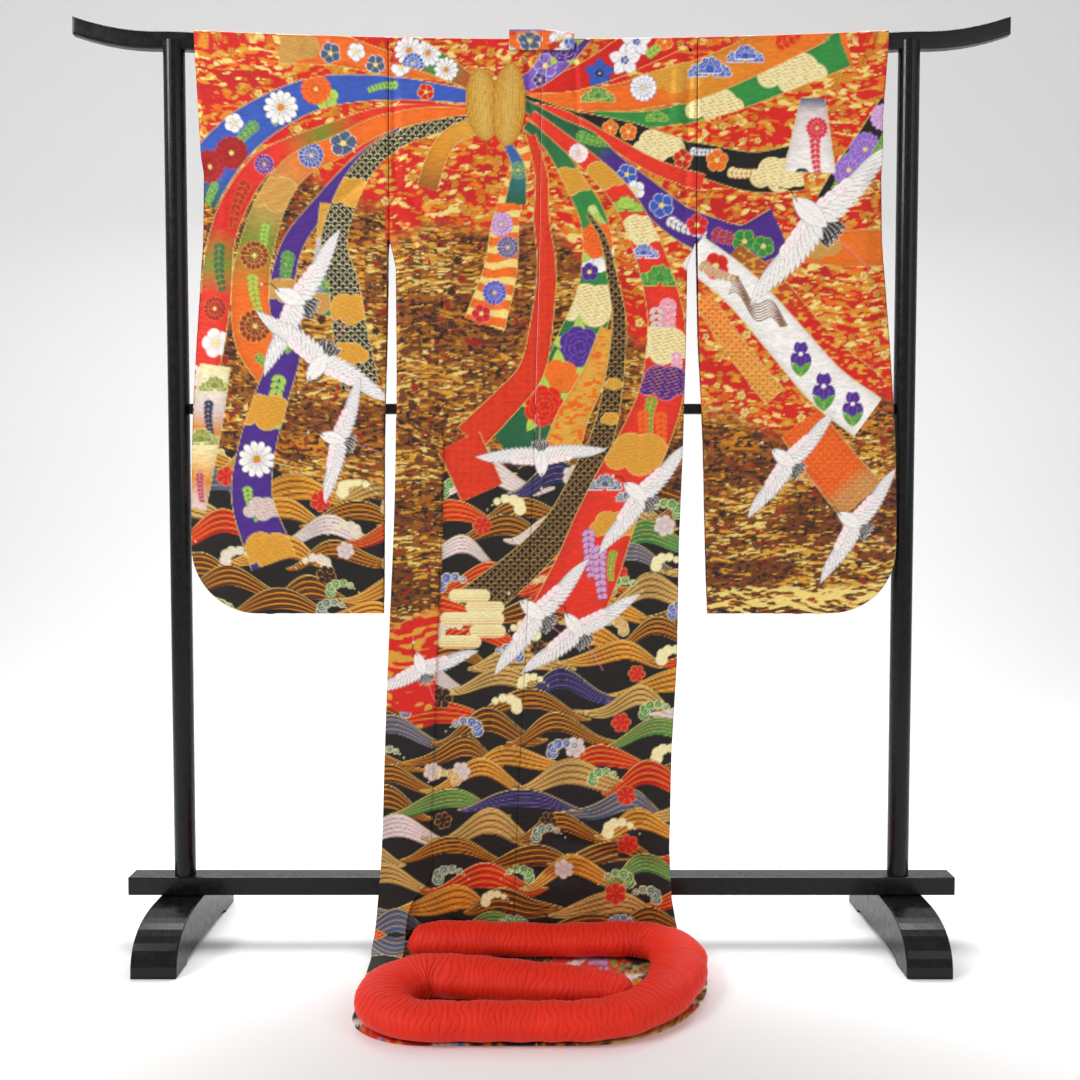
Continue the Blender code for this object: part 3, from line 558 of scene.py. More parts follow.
@dataclass
class Loom:
    """Weaves grounds, ribbons and scattered motifs into the cartoon."""

    art: Cartoon
    needle: Needle

    def curve(self, points: tuple, steps: int = 6) -> np.ndarray:
        """A Catmull-Rom curve through points: each stretch is a cubic of its four nearest."""
        p = np.array(points, float)
        p = np.vstack([2 * p[0] - p[1], p, 2 * p[-1] - p[-2]])
        t = np.linspace(0.0, 1.0, steps, endpoint=False)[:, None]
        out = []
        for a, b, c, d in zip(p, p[1:], p[2:], p[3:]):
            out.append(0.5 * (2 * b + (c - a) * t + (2 * a - 5 * b + 4 * c - d) * t ** 2 + (3 * b - a - 3 * c + d) * t ** 3))
        return np.vstack(out + [p[-2][None, :]])

    def strip(self, ribbon: Ribbon) -> tuple:
        """Signed distance, length along and place across for every cell near a ribbon."""
        art = self.art
        line = self.curve(ribbon.path)
        step = np.hypot(*np.diff(line, axis=0).T)
        run = np.concatenate([[0.0], np.cumsum(step)])
        halves = (ribbon.start + (ribbon.stop - ribbon.start) * run / run[-1]) * ribbon.full
        near = np.full(art.metal.shape, 1.0, np.float32)
        along, across = np.zeros_like(near), np.zeros_like(near)
        for place in range(len(step)):
            a, b, long = line[place], line[place + 1], step[place]
            wide = max(halves[place], halves[place + 1])
            patch = art.patch(*((a + b) / 2), long / 2 + wide + 0.004, long / 2 + wide + 0.004)
            dx, dz = (b - a) / long
            raw = (patch.x * dx + patch.z * dz) / long + 0.5
            share = np.clip(raw, 0.0, 1.0)
            off_x = patch.x - (share - 0.5) * long * dx
            off_z = patch.z - (share - 0.5) * long * dz
            away = np.hypot(off_x, off_z)
            half = halves[place] + (halves[place + 1] - halves[place]) * share
            edge = away - half
            window = (patch.rows, patch.cols)
            better = edge < near[window]
            side = np.sign(dx * off_z - dz * off_x)
            for layer, value in ((near, edge), (along, run[place] + share * long), (across, side * away / half)):
                layer[window] = np.where(better, value, layer[window])
        for end, before, half in ((line[0], line[1], halves[0]), (line[-1], line[-2], halves[-1])):
            dx, dz = (end - before) / np.hypot(*(end - before))
            patch = art.patch(*end, 1.6 * half + 0.01, 1.6 * half + 0.01)
            past = patch.x * dx + patch.z * dz
            window = (patch.rows, patch.cols)
            near[window] = np.where(past > 0.0, np.maximum(near[window], past), near[window])
        return near, along, across, run[-1], line

    def ribbon(self, ribbon: Ribbon) -> None:
        """Weave one ribbon: its ground, its all-over fill, its motifs and its gold edge."""
        art = self.art
        near, along, across, length, line = self.strip(ribbon)
        rows, cols = np.where(near < 0.004)
        patch = Patch(slice(rows.min(), rows.max() + 1), slice(cols.min(), cols.max() + 1), None, None)
        window = (patch.rows, patch.cols)
        near, along, across = near[window], along[window], across[window]
        x, z = np.meshgrid(art.xs[patch.cols], art.zs[patch.rows])
        inside = art.cover(near)
        stops = [stop for stop, _ in ribbon.dyes]
        tone = np.stack([
            np.interp(along / length, stops, [dye.light[channel] for _, dye in ribbon.dyes])
            for channel in range(3)
        ], axis=-1)
        tone = tone * (1.0 - 0.22 * np.abs(across) ** 4)[..., None]
        tone = tone * (0.88 + 0.24 * stretched_noise(art.rng, art.xs[patch.cols], art.zs[patch.rows], 0.012,
            0.003))[..., None]
        art.lay(patch, inside, tone.astype(np.float32), 0.12, 0.55)
        mark = self.marks(ribbon.fill, x, z, along, across * ribbon.stop)
        if mark is not None:
            art.lay(patch, inside * mark, ribbon.second, 0.5, 0.8)
        art.clip = np.zeros_like(art.metal)
        art.clip[window] = inside
        run = np.linspace(0.0, 1.0, len(line))
        for motif in ribbon.motifs:
            place = np.array([np.interp(motif.along, run, line[:, 0]), np.interp(motif.along, run, line[:, 1])])
            ahead = np.array([np.interp(motif.along + 0.03, run, line[:, 0]),
                np.interp(motif.along + 0.03, run, line[:, 1])])
            way = (ahead - place) if motif.along < 0.97 else np.array([0.0, -1.0])
            way = way / (np.hypot(*way) + 1e-9)
            half = (ribbon.start + (ribbon.stop - ribbon.start) * motif.along) * ribbon.full
            place = place + np.array([-way[1], way[0]]) * half * motif.across
            self.motif(motif, float(place[0]), float(place[1]), math.atan2(way[1], way[0]))
        art.clip = None
        rim = art.cover(np.abs(near + 0.5 * MM) - 0.55 * MM)
        art.lay(patch, rim * 0.85, Dye.PALE_GOLD, 0.7, 0.95)

    def marks(self, fill: Fill, x: np.ndarray, z: np.ndarray, along: np.ndarray, across: np.ndarray) -> np.ndarray:
        """The all-over pattern of a ribbon as a share of each cell, or None for a plain one."""
        cover = self.art.cover
        if fill is Fill.SCALLOP:
            pitch = 15 * MM
            row = np.floor(z / (pitch / 2))
            step = x - pitch * (np.round(x / pitch - 0.5 * (row % 2)) + 0.5 * (row % 2))
            far = np.hypot(step, z - row * pitch / 2)
            return cover(np.abs(far - 0.36 * pitch) - 0.7 * MM)
        if fill is Fill.KANOKO:
            pitch = 5.5 * MM
            u, v = (x + z) / pitch, (x - z) / pitch
            return 0.6 * cover(np.abs(np.hypot(u - np.round(u), v - np.round(v)) * pitch - 1.3 * MM) - 0.5 * MM)
        if fill is Fill.ZIGZAG:
            fold = np.abs(x / (11 * MM) % 1.0 - 0.5) * 11 * MM
            line = (z + fold) / (6 * MM)
            return 0.8 * cover(np.abs(line - np.round(line)) * 6 * MM - 0.8 * MM)
        if fill is Fill.STRIPE:
            band = np.sin(along * 2 * np.pi / 0.032 + 1.3 * np.sin(across * 60))
            return smooth(band, 0.1, 0.35)
        if fill is Fill.FLECK:
            rng, rows, cols = self.art.rng, z[:, 0], x[0]
            return smooth(stretched_noise(rng, cols, rows, 0.009, 0.005), 0.62, 0.72)
        return None

    def motif(self, motif: Motif, x: float, z: float, way: float) -> None:
        """Draw one motif of a ribbon by its kind."""
        draw, size, fill, edge = self.needle, motif.size * 1.2, motif.fill, motif.edge
        if motif.kind == "bloom":
            draw.bloom(x, z, size, 5, fill, edge, Dye.PALE_GOLD, way)
        elif motif.kind == "mum":
            draw.mum(x, z, size, fill, edge, Dye.PALE_GOLD)
        elif motif.kind == "daisy":
            draw.bloom(x, z, size, 12, fill, edge, Dye.TAWNY, way, 0.3)
        elif motif.kind == "peony":
            for lean in (0.4, 1.6, 2.9, 4.1, 5.3):
                draw.leaf(x, z, size * 1.45, size * 0.3, lean, Dye.LIME, Dye.PINE)
            draw.peony(x, z, size, fill, edge)
        elif motif.kind == "pine":
            draw.pine(x, z, size, fill, edge)
        elif motif.kind == "cloud":
            draw.cloud(x, z, size, size * 0.55, fill, edge)
        elif motif.kind == "trail":
            draw.trail(x, z, size, way, fill, edge, 8, 0.5)
        elif motif.kind == "hang":
            draw.trail(x, z, size, -1.6, fill, edge, 8, 0.2)
        elif motif.kind == "iris":
            draw.iris(x, z, size)
        elif motif.kind == "bells":
            draw.bells(x, z, size, fill, edge)
        elif motif.kind == "stream":
            for lane in range(7):
                t = np.linspace(0.0, 1.0, 26)
                px = x + size * 1.9 * (t - 0.5) + 2.2 * MM * lane
                pz = z - size * 1.3 * (t - 0.5) + size * 0.26 * np.sin(9.0 * t + 0.25 * lane) + 3.4 * MM * (lane - 3)
                draw.thread(tuple(zip(px, pz)), 2.0 * MM, fill if lane % 3 else edge, 0.3)

    def ripple(self, wide: float, high: float) -> np.ndarray:
        """Stretched noise over the whole cartoon whose streaks wander up and down by 9 mm."""
        art = self.art
        noise = stretched_noise(art.rng, art.xs, art.zs, wide, high)
        turn, tilt = art.rng.uniform(0.0, 6.0, 2)
        sway = 5.0 * MM * np.sin(46.0 * art.xs + turn) + 4.0 * MM * np.sin(17.0 * art.xs + tilt)
        rows = (np.arange(len(art.zs))[:, None] + np.round(sway / art.cell).astype(int)[None, :]) % len(art.zs)
        return noise[rows, np.arange(len(art.xs))[None, :]]

    def ground(self) -> None:
        """Weave the grounds: red with gold boughs, and gold-brown with wandering streaks."""
        art = self.art
        page = art.whole()
        x, z = page.x, page.z
        rng, xs, zs = art.rng, art.xs, art.zs
        one = np.ones_like(art.metal)
        art.lay(page, one, Dye.RED, 0.05, 0.4)
        shade = stretched_noise(rng, xs, zs, 0.09, 0.05)
        art.lay(page, smooth(shade, 0.45, 0.9) * 0.45, Dye.CRIMSON)
        gather = stretched_noise(rng, xs, zs, 0.13, 0.06)
        for dye, low, full in ((Dye.TAWNY, 0.75, 0.80), (Dye.PALE_GOLD, 0.84, 0.88)):
            streak = self.ripple(0.024, 0.005) * 0.7 + self.ripple(0.008, 0.0032) * 0.3
            art.lay(page, smooth(streak + 0.25 * gather, low, full), dye, 0.65, 0.7)

        wavy = 0.025 * np.sin(9.0 * x + 1.0) + 0.02 * np.sin(23.0 * x)
        left, right = x < -0.3, x > 0.305
        top = np.where(left, 1.50, np.where(right, 1.06, 1.42 - 0.22 * smooth(x, -0.05, 0.2)))
        brown = smooth(top + wavy - z, 0.0, 0.05)
        base = stretched_noise(rng, xs, zs, 0.10, 0.05)
        hue = Dye.BRONZE.light + (Dye.TAWNY.light - Dye.BRONZE.light) * smooth(base, 0.55, 1.0)[..., None]
        hue = hue + (Dye.BROWN.light - hue) * (0.75 * smooth(1.04 - z, 0.0, 0.25))[..., None]
        art.lay(page, brown * one, hue, 0.5, 0.55)
        bright = smooth(stretched_noise(rng, xs, zs, 0.16, 0.05), 0.3, 0.8)
        for dye, wide, high, low, full, metal, tide in (
            (Dye.BROWN, 0.016, 0.0050, 0.50, 0.60, 0.2, 0.0), (Dye.UMBER, 0.011, 0.0036, 0.68, 0.76, 0.0, -0.08),
            (Dye.GOLD, 0.017, 0.0030, 0.72, 0.80, 0.85, 0.20), (Dye.CRIMSON, 0.012, 0.0070, 0.83, 0.88, 0.05, 0.0),
            (Dye.BLACK, 0.008, 0.0032, 0.78, 0.84, 0.0, -0.10), (Dye.PALE_GOLD, 0.015, 0.0028, 0.84, 0.91, 0.9, 0.26),
        ):
            flow = self.ripple(wide, high) + tide * (bright - 0.4)
            art.lay(page, brown * smooth(flow, low, full), dye, metal, 0.75)
        glint = smooth(0.715 - z, 0.0, 0.02) * right
        art.lay(page, glint * smooth(self.ripple(0.016, 0.005), 0.52, 0.60), Dye.PALE_GOLD, 0.9, 0.8)
        fold_red = (x < self.fold_edge(z)) * (x > -0.34) * smooth(0.665 + wavy - z, 0.0, 0.02)
        art.lay(page, fold_red * one, Dye.RED, 0.05, 0.4)
        art.lay(page, fold_red * smooth(self.ripple(0.020, 0.007), 0.56, 0.64), Dye.GOLD, 0.7, 0.7)
        for _ in range(330):
            px, pz = rng.uniform(-0.68, 0.68), rng.uniform(0.66, 1.45)
            if self.inside(brown, px, pz) > 0.9:
                dye = (Dye.UMBER, Dye.CRIMSON, Dye.BLACK, Dye.BROWN)[rng.integers(4)]
                self.needle.bloom(px, pz, rng.uniform(5, 10) * MM, 5, dye, Dye.BRONZE, dye, rng.uniform(0, 6))
        self.boughs(brown)

    def fold_edge(self, z: np.ndarray) -> np.ndarray:
        """Right edge of the side fold, whose drawing differs from the back beside it."""
        return -0.188 - 0.030 * smooth(1.0 - z, 0.0, 0.87)

    def inside(self, share: np.ndarray, x: float, z: float) -> float:
        """Read a layer of the cartoon at one place."""
        return share[int((z - self.art.low) / self.art.cell), int((x - self.art.left) / self.art.cell)]

    def boughs(self, brown: np.ndarray) -> None:
        """Scatter gold, orange and pale blossoms and leaves thickly over the red ground."""
        rng = self.art.rng
        for _ in range(3300):
            px, pz = rng.uniform(-0.70, 0.71), rng.uniform(1.02, 1.96)
            if self.inside(brown, px, pz) > 0.3:
                continue
            dye = (Dye.PALE_GOLD, Dye.TAWNY, Dye.ORANGE, Dye.GOLD, Dye.GOLD)[rng.integers(5)]
            size = rng.uniform(5.0, 10.0) * MM
            if rng.random() < 0.30:
                self.needle.bloom(px, pz, size, 5, dye, Dye.CRIMSON, Dye.ORANGE, rng.uniform(0, 6), 0.3, 0.5)
            else:
                self.needle.leaf(px, pz, size * 2.2, size * 0.40, rng.uniform(-0.7, 0.7), dye, dye, 0.5)

    def water(self) -> None:
        """Weave the water: rows of arched bands over black, each row over the one above it.

        Rows are 50 mm apart, arches in a row 168 mm apart, and every second row is
        shifted half an arch. Foam and blossoms stand in the black between the rows.
        """
        art, rng = self.art, self.art.rng
        page = art.whole()
        x, z = page.x, page.z
        level = np.where(x < -0.3, 0.97 - 0.10 * smooth(x, -0.62, -0.36),
            np.where(x > 0.305, -0.5, np.where(x < self.fold_edge(z), 0.44, 0.95 - 0.10 * smooth(x, 0.0, 0.24))))
        level = level + 0.012 * np.sin(31.0 * x)
        under = smooth(level - z, 0.0, 0.006)
        art.lay(page, under, Dye.BLACK, 0.0, 0.1)
        art.clip = np.zeros_like(art.metal) + smooth(level + 0.03 - z, 0.0, 0.004)
        bag = (
            [Swell.DARK] * 6 + [Swell.GOLD] * 4 + [Swell.STRAW] * 2 + [Swell.RED] * 3 + [Swell.PEARL] * 2
            + [Swell.GREEN] * 2 + [Swell.SLATE, Swell.MAUVE])
        styles = []
        foams = (Dye.CREAM, Dye.LEAF, Dye.STRAW, Dye.BLUE, Dye.LEAF, Dye.CREAM, Dye.PEARL, Dye.TEAL)
        pitch, rows = 0.168, 21
        for row in range(rows):
            foot = 0.955 - 0.048 * row
            for step in range(-5, 6):
                cx = pitch * (step + 0.5 * (row % 2)) + rng.uniform(-0.022, 0.022) - 0.02
                cz = foot + rng.uniform(-0.012, 0.012)
                if row and rng.random() < 0.55:
                    foam = foams[rng.integers(len(foams))]
                    lean = (-1.0, 1.0)[rng.integers(2)]
                    self.needle.spray(cx + rng.uniform(-0.03, 0.03), cz + 0.040, rng.uniform(24, 31) * MM, foam, lean)
                if not styles:
                    styles = [bag[place] for place in rng.permutation(len(bag))]
                self.needle.wave(
                    cx, cz - 0.026, rng.uniform(0.104, 0.128), rng.uniform(0.044, 0.062),
                    rng.uniform(0.034, 0.052), styles.pop(), rng.uniform(-0.30, 0.30))
            for _ in range(2 if row % 2 else 1):
                cx = rng.uniform(-0.27, 0.24) if rng.random() < 0.7 else rng.uniform(-0.66, -0.36)
                fill = (Dye.RED, Dye.PEARL, Dye.UMBER, Dye.RED)[rng.integers(4)]
                self.needle.bloom(cx, foot + 0.01, rng.uniform(17, 23) * MM, 6, fill, Dye.STRAW, fill,
                    rng.uniform(0, 6), 0.3)
        art.clip = None


RIBBONS = (
    Ribbon("pine gold", ((-0.05, 1.66), (0.04, 1.64), (0.14, 1.64), (0.23, 1.66), (0.33, 1.68), (0.45, 1.72),
    (0.58, 1.76)), 0.008, 0.054,
           ((0.0, Dye.ORANGE), (0.4, Dye.ORANGE), (0.55, Dye.TAWNY), (1.0, Dye.ORANGE)), motifs=(
        Motif("pine", 0.28, 0.1, 0.024, Dye.LEAF, Dye.PALE_GOLD), Motif("cloud", 0.55, 0.4, 0.05, Dye.GOLD, Dye.TAWNY),
        Motif("mum", 0.44, 0.25, 0.022, Dye.WHITE, Dye.BLUE), Motif("pine", 0.66, 0.25, 0.030, Dye.BLUE, Dye.WHITE),
        Motif("pine", 0.76, 0.3, 0.026, Dye.BLUE, Dye.WHITE), Motif("trail", 0.84, 0.35, 0.08, Dye.RED, Dye.ORANGE))),
    Ribbon("green mist", ((0.10, 1.605), (0.20, 1.60), (0.31, 1.62), (0.42, 1.66), (0.58, 1.73)), 0.010, 0.026,
           ((0.0, Dye.LEAF), (1.0, Dye.LEAF)), motifs=(
        Motif("cloud", 0.55, 0.0, 0.05, Dye.CREAM, Dye.PALE_GOLD),
        Motif("cloud", 0.85, 0.1, 0.06, Dye.CREAM, Dye.PALE_GOLD),
        Motif("pine", 0.3, 0.0, 0.016, Dye.LEAF, Dye.LIME))),
    Ribbon("bells", ((-0.06, 1.66), (0.04, 1.67), (0.12, 1.70), (0.19, 1.74), (0.24, 1.77)), 0.006, 0.038,
           ((0.0, Dye.RED), (1.0, Dye.RED)), motifs=(
        Motif("bells", 0.46, -0.3, 0.024, Dye.BLUE, Dye.NAVY), Motif("bells", 0.62, -0.25, 0.026, Dye.WHITE, Dye.BLUE),
        Motif("bells", 0.74, 0.3, 0.025, Dye.WHITE, Dye.BLUE), Motif("trail", 0.75, -0.6, 0.06, Dye.LIME, Dye.LEAF),
        Motif("leaf", 0.9, 0.0, 0.03, Dye.LEAF, Dye.LIME),
        Motif("bloom", 0.93, -0.4, 0.014, Dye.ORANGE, Dye.PALE_GOLD))),
    Ribbon("peony", ((-0.06, 1.66), (-0.01, 1.68), (0.03, 1.72), (0.06, 1.77)), 0.008, 0.033,
           ((0.0, Dye.PURPLE), (0.45, Dye.VIOLET), (1.0, Dye.PURPLE)), motifs=(
        Motif("bloom", 0.5, 0.2, 0.020, Dye.VIOLET, Dye.WHITE), Motif("peony", 0.78, 0.0, 0.024, Dye.PURPLE, Dye.LILAC),
        Motif("bloom", 0.35, -0.4, 0.012, Dye.PURPLE, Dye.WHITE))),
    Ribbon("black flower", ((-0.05, 1.65), (0.04, 1.61), (0.11, 1.59), (0.18, 1.57), (0.25, 1.54), (0.32,
    1.52), (0.41, 1.50), (0.50, 1.51)), 0.005, 0.037,
           ((0.0, Dye.BLACK), (1.0, Dye.BLACK)), motifs=(
        Motif("bloom", 0.33, 0.0, 0.013, Dye.ORANGE, Dye.PALE_GOLD),
        Motif("bloom", 0.40, 0.1, 0.014, Dye.ORANGE, Dye.PALE_GOLD),
        Motif("cloud", 0.52, 0.0, 0.045, Dye.CREAM, Dye.PALE_GOLD),
        Motif("bloom", 0.62, -0.2, 0.016, Dye.RED, Dye.PALE_GOLD),
        Motif("trail", 0.64, 0.4, 0.05, Dye.WHITE, Dye.SLATE),
        Motif("bloom", 0.74, 0.2, 0.018, Dye.ORANGE, Dye.PALE_GOLD),
        Motif("trail", 0.78, -0.2, 0.06, Dye.CREAM, Dye.TAWNY),
        Motif("cloud", 0.93, -0.2, 0.05, Dye.CREAM, Dye.PALE_GOLD))),
    Ribbon("thin red", ((-0.04, 1.63), (0.04, 1.61), (0.13, 1.56), (0.22, 1.51), (0.31, 1.48)), 0.006, 0.014,
           ((0.0, Dye.SCARLET), (1.0, Dye.SCARLET))),
    Ribbon("berries", ((-0.05, 1.64), (0.03, 1.59), (0.09, 1.56), (0.14, 1.51), (0.20, 1.46), (0.26, 1.41),
    (0.32, 1.38), (0.39, 1.36), (0.46, 1.39)), 0.008, 0.037,
           ((0.0, Dye.PINE), (0.3, Dye.PINE), (0.36, Dye.PURPLE), (1.0, Dye.PURPLE)), motifs=(
        Motif("trail", 0.20, 0.0, 0.07, Dye.LEAF, Dye.LIME), Motif("bloom", 0.42, 0.2, 0.017, Dye.BLUE, Dye.WHITE),
        Motif("bloom", 0.47, -0.3, 0.016, Dye.WHITE, Dye.BLUE), Motif("bloom", 0.56, 0.1, 0.020, Dye.BLUE, Dye.WHITE),
        Motif("trail", 0.60, -0.3, 0.07, Dye.WHITE, Dye.SLATE), Motif("bloom", 0.70, 0.3, 0.018, Dye.RED, Dye.PINK),
        Motif("trail", 0.76, 0.2, 0.09, Dye.CRIMSON, Dye.PINK), Motif("bloom", 0.88, 0.2, 0.020, Dye.LEAF, Dye.LIME),
        Motif("bloom", 0.93, -0.3, 0.018, Dye.LEAF, Dye.LIME))),
    Ribbon("left tawny", ((-0.11, 1.67), (-0.19, 1.69), (-0.27, 1.70), (-0.39, 1.73), (-0.50, 1.74)), 0.010, 0.029,
           ((0.0, Dye.TAWNY), (0.4, Dye.ORANGE), (1.0, Dye.ORANGE)), motifs=(
        Motif("bloom", 0.50, 0.0, 0.016, Dye.WHITE, Dye.BLUE), Motif("bloom", 0.60, 0.3, 0.016, Dye.SLATE, Dye.WHITE),
        Motif("bloom", 0.68, -0.2, 0.015, Dye.WHITE, Dye.SLATE), Motif("bloom", 0.78, 0.2, 0.017, Dye.SLATE, Dye.WHITE),
        Motif("cloud", 0.97, 0.0, 0.055, Dye.STRAW, Dye.GOLD))),
    Ribbon("left daisies", ((-0.12, 1.66), (-0.17, 1.69), (-0.23, 1.72), (-0.28, 1.74)), 0.010, 0.028,
           ((0.0, Dye.RED), (0.5, Dye.LEAF), (1.0, Dye.RED)), motifs=(
        Motif("daisy", 0.40, 0.1, 0.020, Dye.WHITE, Dye.SLATE), Motif("daisy", 0.62, -0.4, 0.022, Dye.WHITE, Dye.BLUE),
        Motif("daisy", 0.82, 0.0, 0.024, Dye.WHITE, Dye.SLATE), Motif("mum", 0.72, 0.7, 0.018, Dye.BLUE, Dye.WHITE))),
    Ribbon("left blue", ((-0.12, 1.64), (-0.19, 1.65), (-0.30, 1.66), (-0.43, 1.65), (-0.54, 1.60), (-0.61,
    1.54), (-0.67, 1.46)), 0.010, 0.041,
           ((0.0, Dye.BLUE), (0.9, Dye.BLUE), (1.0, Dye.PINE)), motifs=(
        Motif("bloom", 0.22, 0.1, 0.014, Dye.RED, Dye.PALE_GOLD), Motif("trail", 0.30, -0.3, 0.05, Dye.LIME, Dye.LEAF),
        Motif("bloom", 0.48, 0.4, 0.020, Dye.LIME, Dye.LEAF), Motif("mum", 0.50, -0.25, 0.025, Dye.ORANGE, Dye.RED),
        Motif("trail", 0.56, 0.3, 0.05, Dye.LEAF, Dye.LIME), Motif("daisy", 0.60, 0.0, 0.028, Dye.WHITE, Dye.SLATE),
        Motif("trail", 0.68, 0.1, 0.07, Dye.LEAF, Dye.LIME), Motif("bloom", 0.74, -0.6, 0.016, Dye.WHITE, Dye.BLUE),
        Motif("mum", 0.82, 0.3, 0.027, Dye.CRIMSON, Dye.RED), Motif("mum", 0.90, -0.1, 0.026, Dye.CRIMSON, Dye.RED),
        Motif("trail", 0.93, 0.5, 0.06, Dye.LEAF, Dye.LIME), Motif("daisy", 0.98, -0.5, 0.022, Dye.WHITE, Dye.SLATE))),
    Ribbon("left scarlet", ((-0.12, 1.62), (-0.21, 1.62), (-0.31, 1.61), (-0.42, 1.57), (-0.53, 1.52), (-0.59,
    1.44), (-0.62, 1.36), (-0.63, 1.26), (-0.65, 1.16), (-0.68, 1.05)), 0.006, 0.033,
           ((0.0, Dye.SCARLET), (0.25, Dye.SCARLET), (0.33, Dye.MOSS), (0.42, Dye.SCARLET), (0.62, Dye.RED),
               (0.7, Dye.MOSS), (0.76, Dye.SCARLET), (1.0, Dye.SCARLET)), motifs=(
        Motif("mum", 0.45, 0.1, 0.016, Dye.PURPLE, Dye.LILAC), Motif("trail", 0.50, 0.0, 0.08, Dye.CRIMSON, Dye.ORANGE),
        Motif("trail", 0.66, 0.0, 0.08, Dye.PINE, Dye.MOSS), Motif("mum", 0.80, 0.1, 0.020, Dye.CRIMSON, Dye.ORANGE),
        Motif("bloom", 0.87, 0.5, 0.024, Dye.WHITE, Dye.PINK), Motif("bloom", 0.94, -0.2, 0.018, Dye.WHITE, Dye.PINK))),
    Ribbon("left panel", ((-0.63, 1.13), (-0.65, 1.02), (-0.69, 0.86)), 0.030, 0.040,
           ((0.0, Dye.CREAM), (0.3, Dye.PEARL), (0.45, Dye.TAWNY), (0.55, Dye.CREAM), (0.8, Dye.TAWNY),
               (1.0, Dye.PEARL)), motifs=(
        Motif("pine", 0.2, 0.2, 0.024, Dye.MOSS, Dye.CREAM), Motif("trail", 0.32, 0.0, 0.06, Dye.NAVY, Dye.SLATE),
        Motif("pine", 0.62, 0.0, 0.026, Dye.MOSS, Dye.CREAM), Motif("hang", 0.8, 0.3, 0.05, Dye.CRIMSON, Dye.PINK))),
    Ribbon("left orange", ((-0.12, 1.61), (-0.21, 1.61), (-0.31, 1.59), (-0.39, 1.55), (-0.47, 1.51), (-0.52,
    1.44), (-0.55, 1.35), (-0.56, 1.28), (-0.55, 1.18), (-0.50, 1.11)), 0.008, 0.037,
           ((0.0, Dye.ORANGE), (0.4, Dye.ORANGE), (0.55, Dye.STRAW), (0.66, Dye.MOSS), (0.78, Dye.ORANGE),
               (1.0, Dye.ORANGE)), motifs=(
        Motif("bloom", 0.32, 0.0, 0.022, Dye.SLATE, Dye.WHITE), Motif("mum", 0.40, -0.2, 0.021, Dye.BLUE, Dye.CREAM),
        Motif("cloud", 0.53, 0.0, 0.05, Dye.STRAW, Dye.PALE_GOLD), Motif("trail", 0.60, 0.2, 0.06, Dye.LIME, Dye.LEAF),
        Motif("mum", 0.68, 0.0, 0.024, Dye.CRIMSON, Dye.LIME), Motif("trail", 0.74, 0.1, 0.07, Dye.LIME, Dye.MOSS),
        Motif("mum", 0.86, 0.1, 0.027, Dye.CRIMSON, Dye.LIME), Motif("trail", 0.92, -0.3, 0.05, Dye.LEAF, Dye.LIME))),
    Ribbon("left purple", ((-0.27, 1.58), (-0.35, 1.52), (-0.43, 1.43), (-0.48, 1.36), (-0.50, 1.27), (-0.49,
    1.17), (-0.52, 1.07), (-0.55, 0.97), (-0.56, 0.87), (-0.52, 0.75)), 0.008, 0.037,
           ((0.0, Dye.PURPLE), (1.0, Dye.PURPLE)), motifs=(
        Motif("trail", 0.35, 0.0, 0.08, Dye.LEAF, Dye.LIME), Motif("cloud", 0.44, 0.2, 0.035, Dye.STRAW, Dye.PALE_GOLD),
        Motif("iris", 0.53, 0.0, 0.022, Dye.PURPLE, Dye.VIOLET), Motif("trail", 0.62, 0.1, 0.09, Dye.LIME, Dye.LEAF),
        Motif("cloud", 0.70, 0.0, 0.052, Dye.GOLD, Dye.PALE_GOLD),
        Motif("daisy", 0.80, 0.1, 0.030, Dye.WHITE, Dye.SLATE),
        Motif("trail", 0.86, -0.2, 0.06, Dye.LIME, Dye.LEAF), Motif("cloud", 0.91, 0.4, 0.035, Dye.PEARL, Dye.SLATE),
        Motif("cloud", 0.98, 0.0, 0.055, Dye.GOLD, Dye.PALE_GOLD))),
    Ribbon("left iris", ((-0.40, 1.44), (-0.41, 1.33), (-0.43, 1.23)), 0.026, 0.033,
           ((0.0, Dye.GOLD), (0.28, Dye.GOLD), (0.33, Dye.PEARL), (1.0, Dye.SLATE)), motifs=(
        Motif("hang", 0.45, 0.5, 0.06, Dye.TEAL, Dye.SLATE), Motif("iris", 0.55, -0.1, 0.024, Dye.PURPLE, Dye.VIOLET),
        Motif("trail", 0.75, 0.3, 0.06, Dye.LEAF, Dye.TEAL), Motif("cloud", 0.9, 0.0, 0.03, Dye.STRAW, Dye.PALE_GOLD))),
    Ribbon("left black", ((-0.12, 1.60), (-0.19, 1.59), (-0.28, 1.56), (-0.34, 1.51), (-0.38, 1.44), (-0.40,
    1.36), (-0.38, 1.28), (-0.37, 1.20), (-0.35, 1.09)), 0.008, 0.031,
           ((0.0, Dye.BLACK), (1.0, Dye.BLACK)), Fill.SCALLOP, Dye.CREAM, motifs=(
        Motif("cloud", 0.46, 0.2, 0.042, Dye.GOLD, Dye.PALE_GOLD),
        Motif("cloud", 0.82, 0.2, 0.045, Dye.GOLD, Dye.PALE_GOLD),
        Motif("cloud", 0.93, -0.3, 0.035, Dye.GOLD, Dye.PALE_GOLD))),
    Ribbon("left gold", ((-0.12, 1.59), (-0.17, 1.57), (-0.20, 1.53), (-0.22, 1.47)), 0.016, 0.021,
           ((0.0, Dye.GOLD), (0.6, Dye.TAWNY), (1.0, Dye.BRONZE))),
    Ribbon("stripe", ((-0.03, 1.55), (-0.05, 1.48), (-0.07, 1.40), (-0.08, 1.31), (-0.11, 1.21)), 0.012, 0.033,
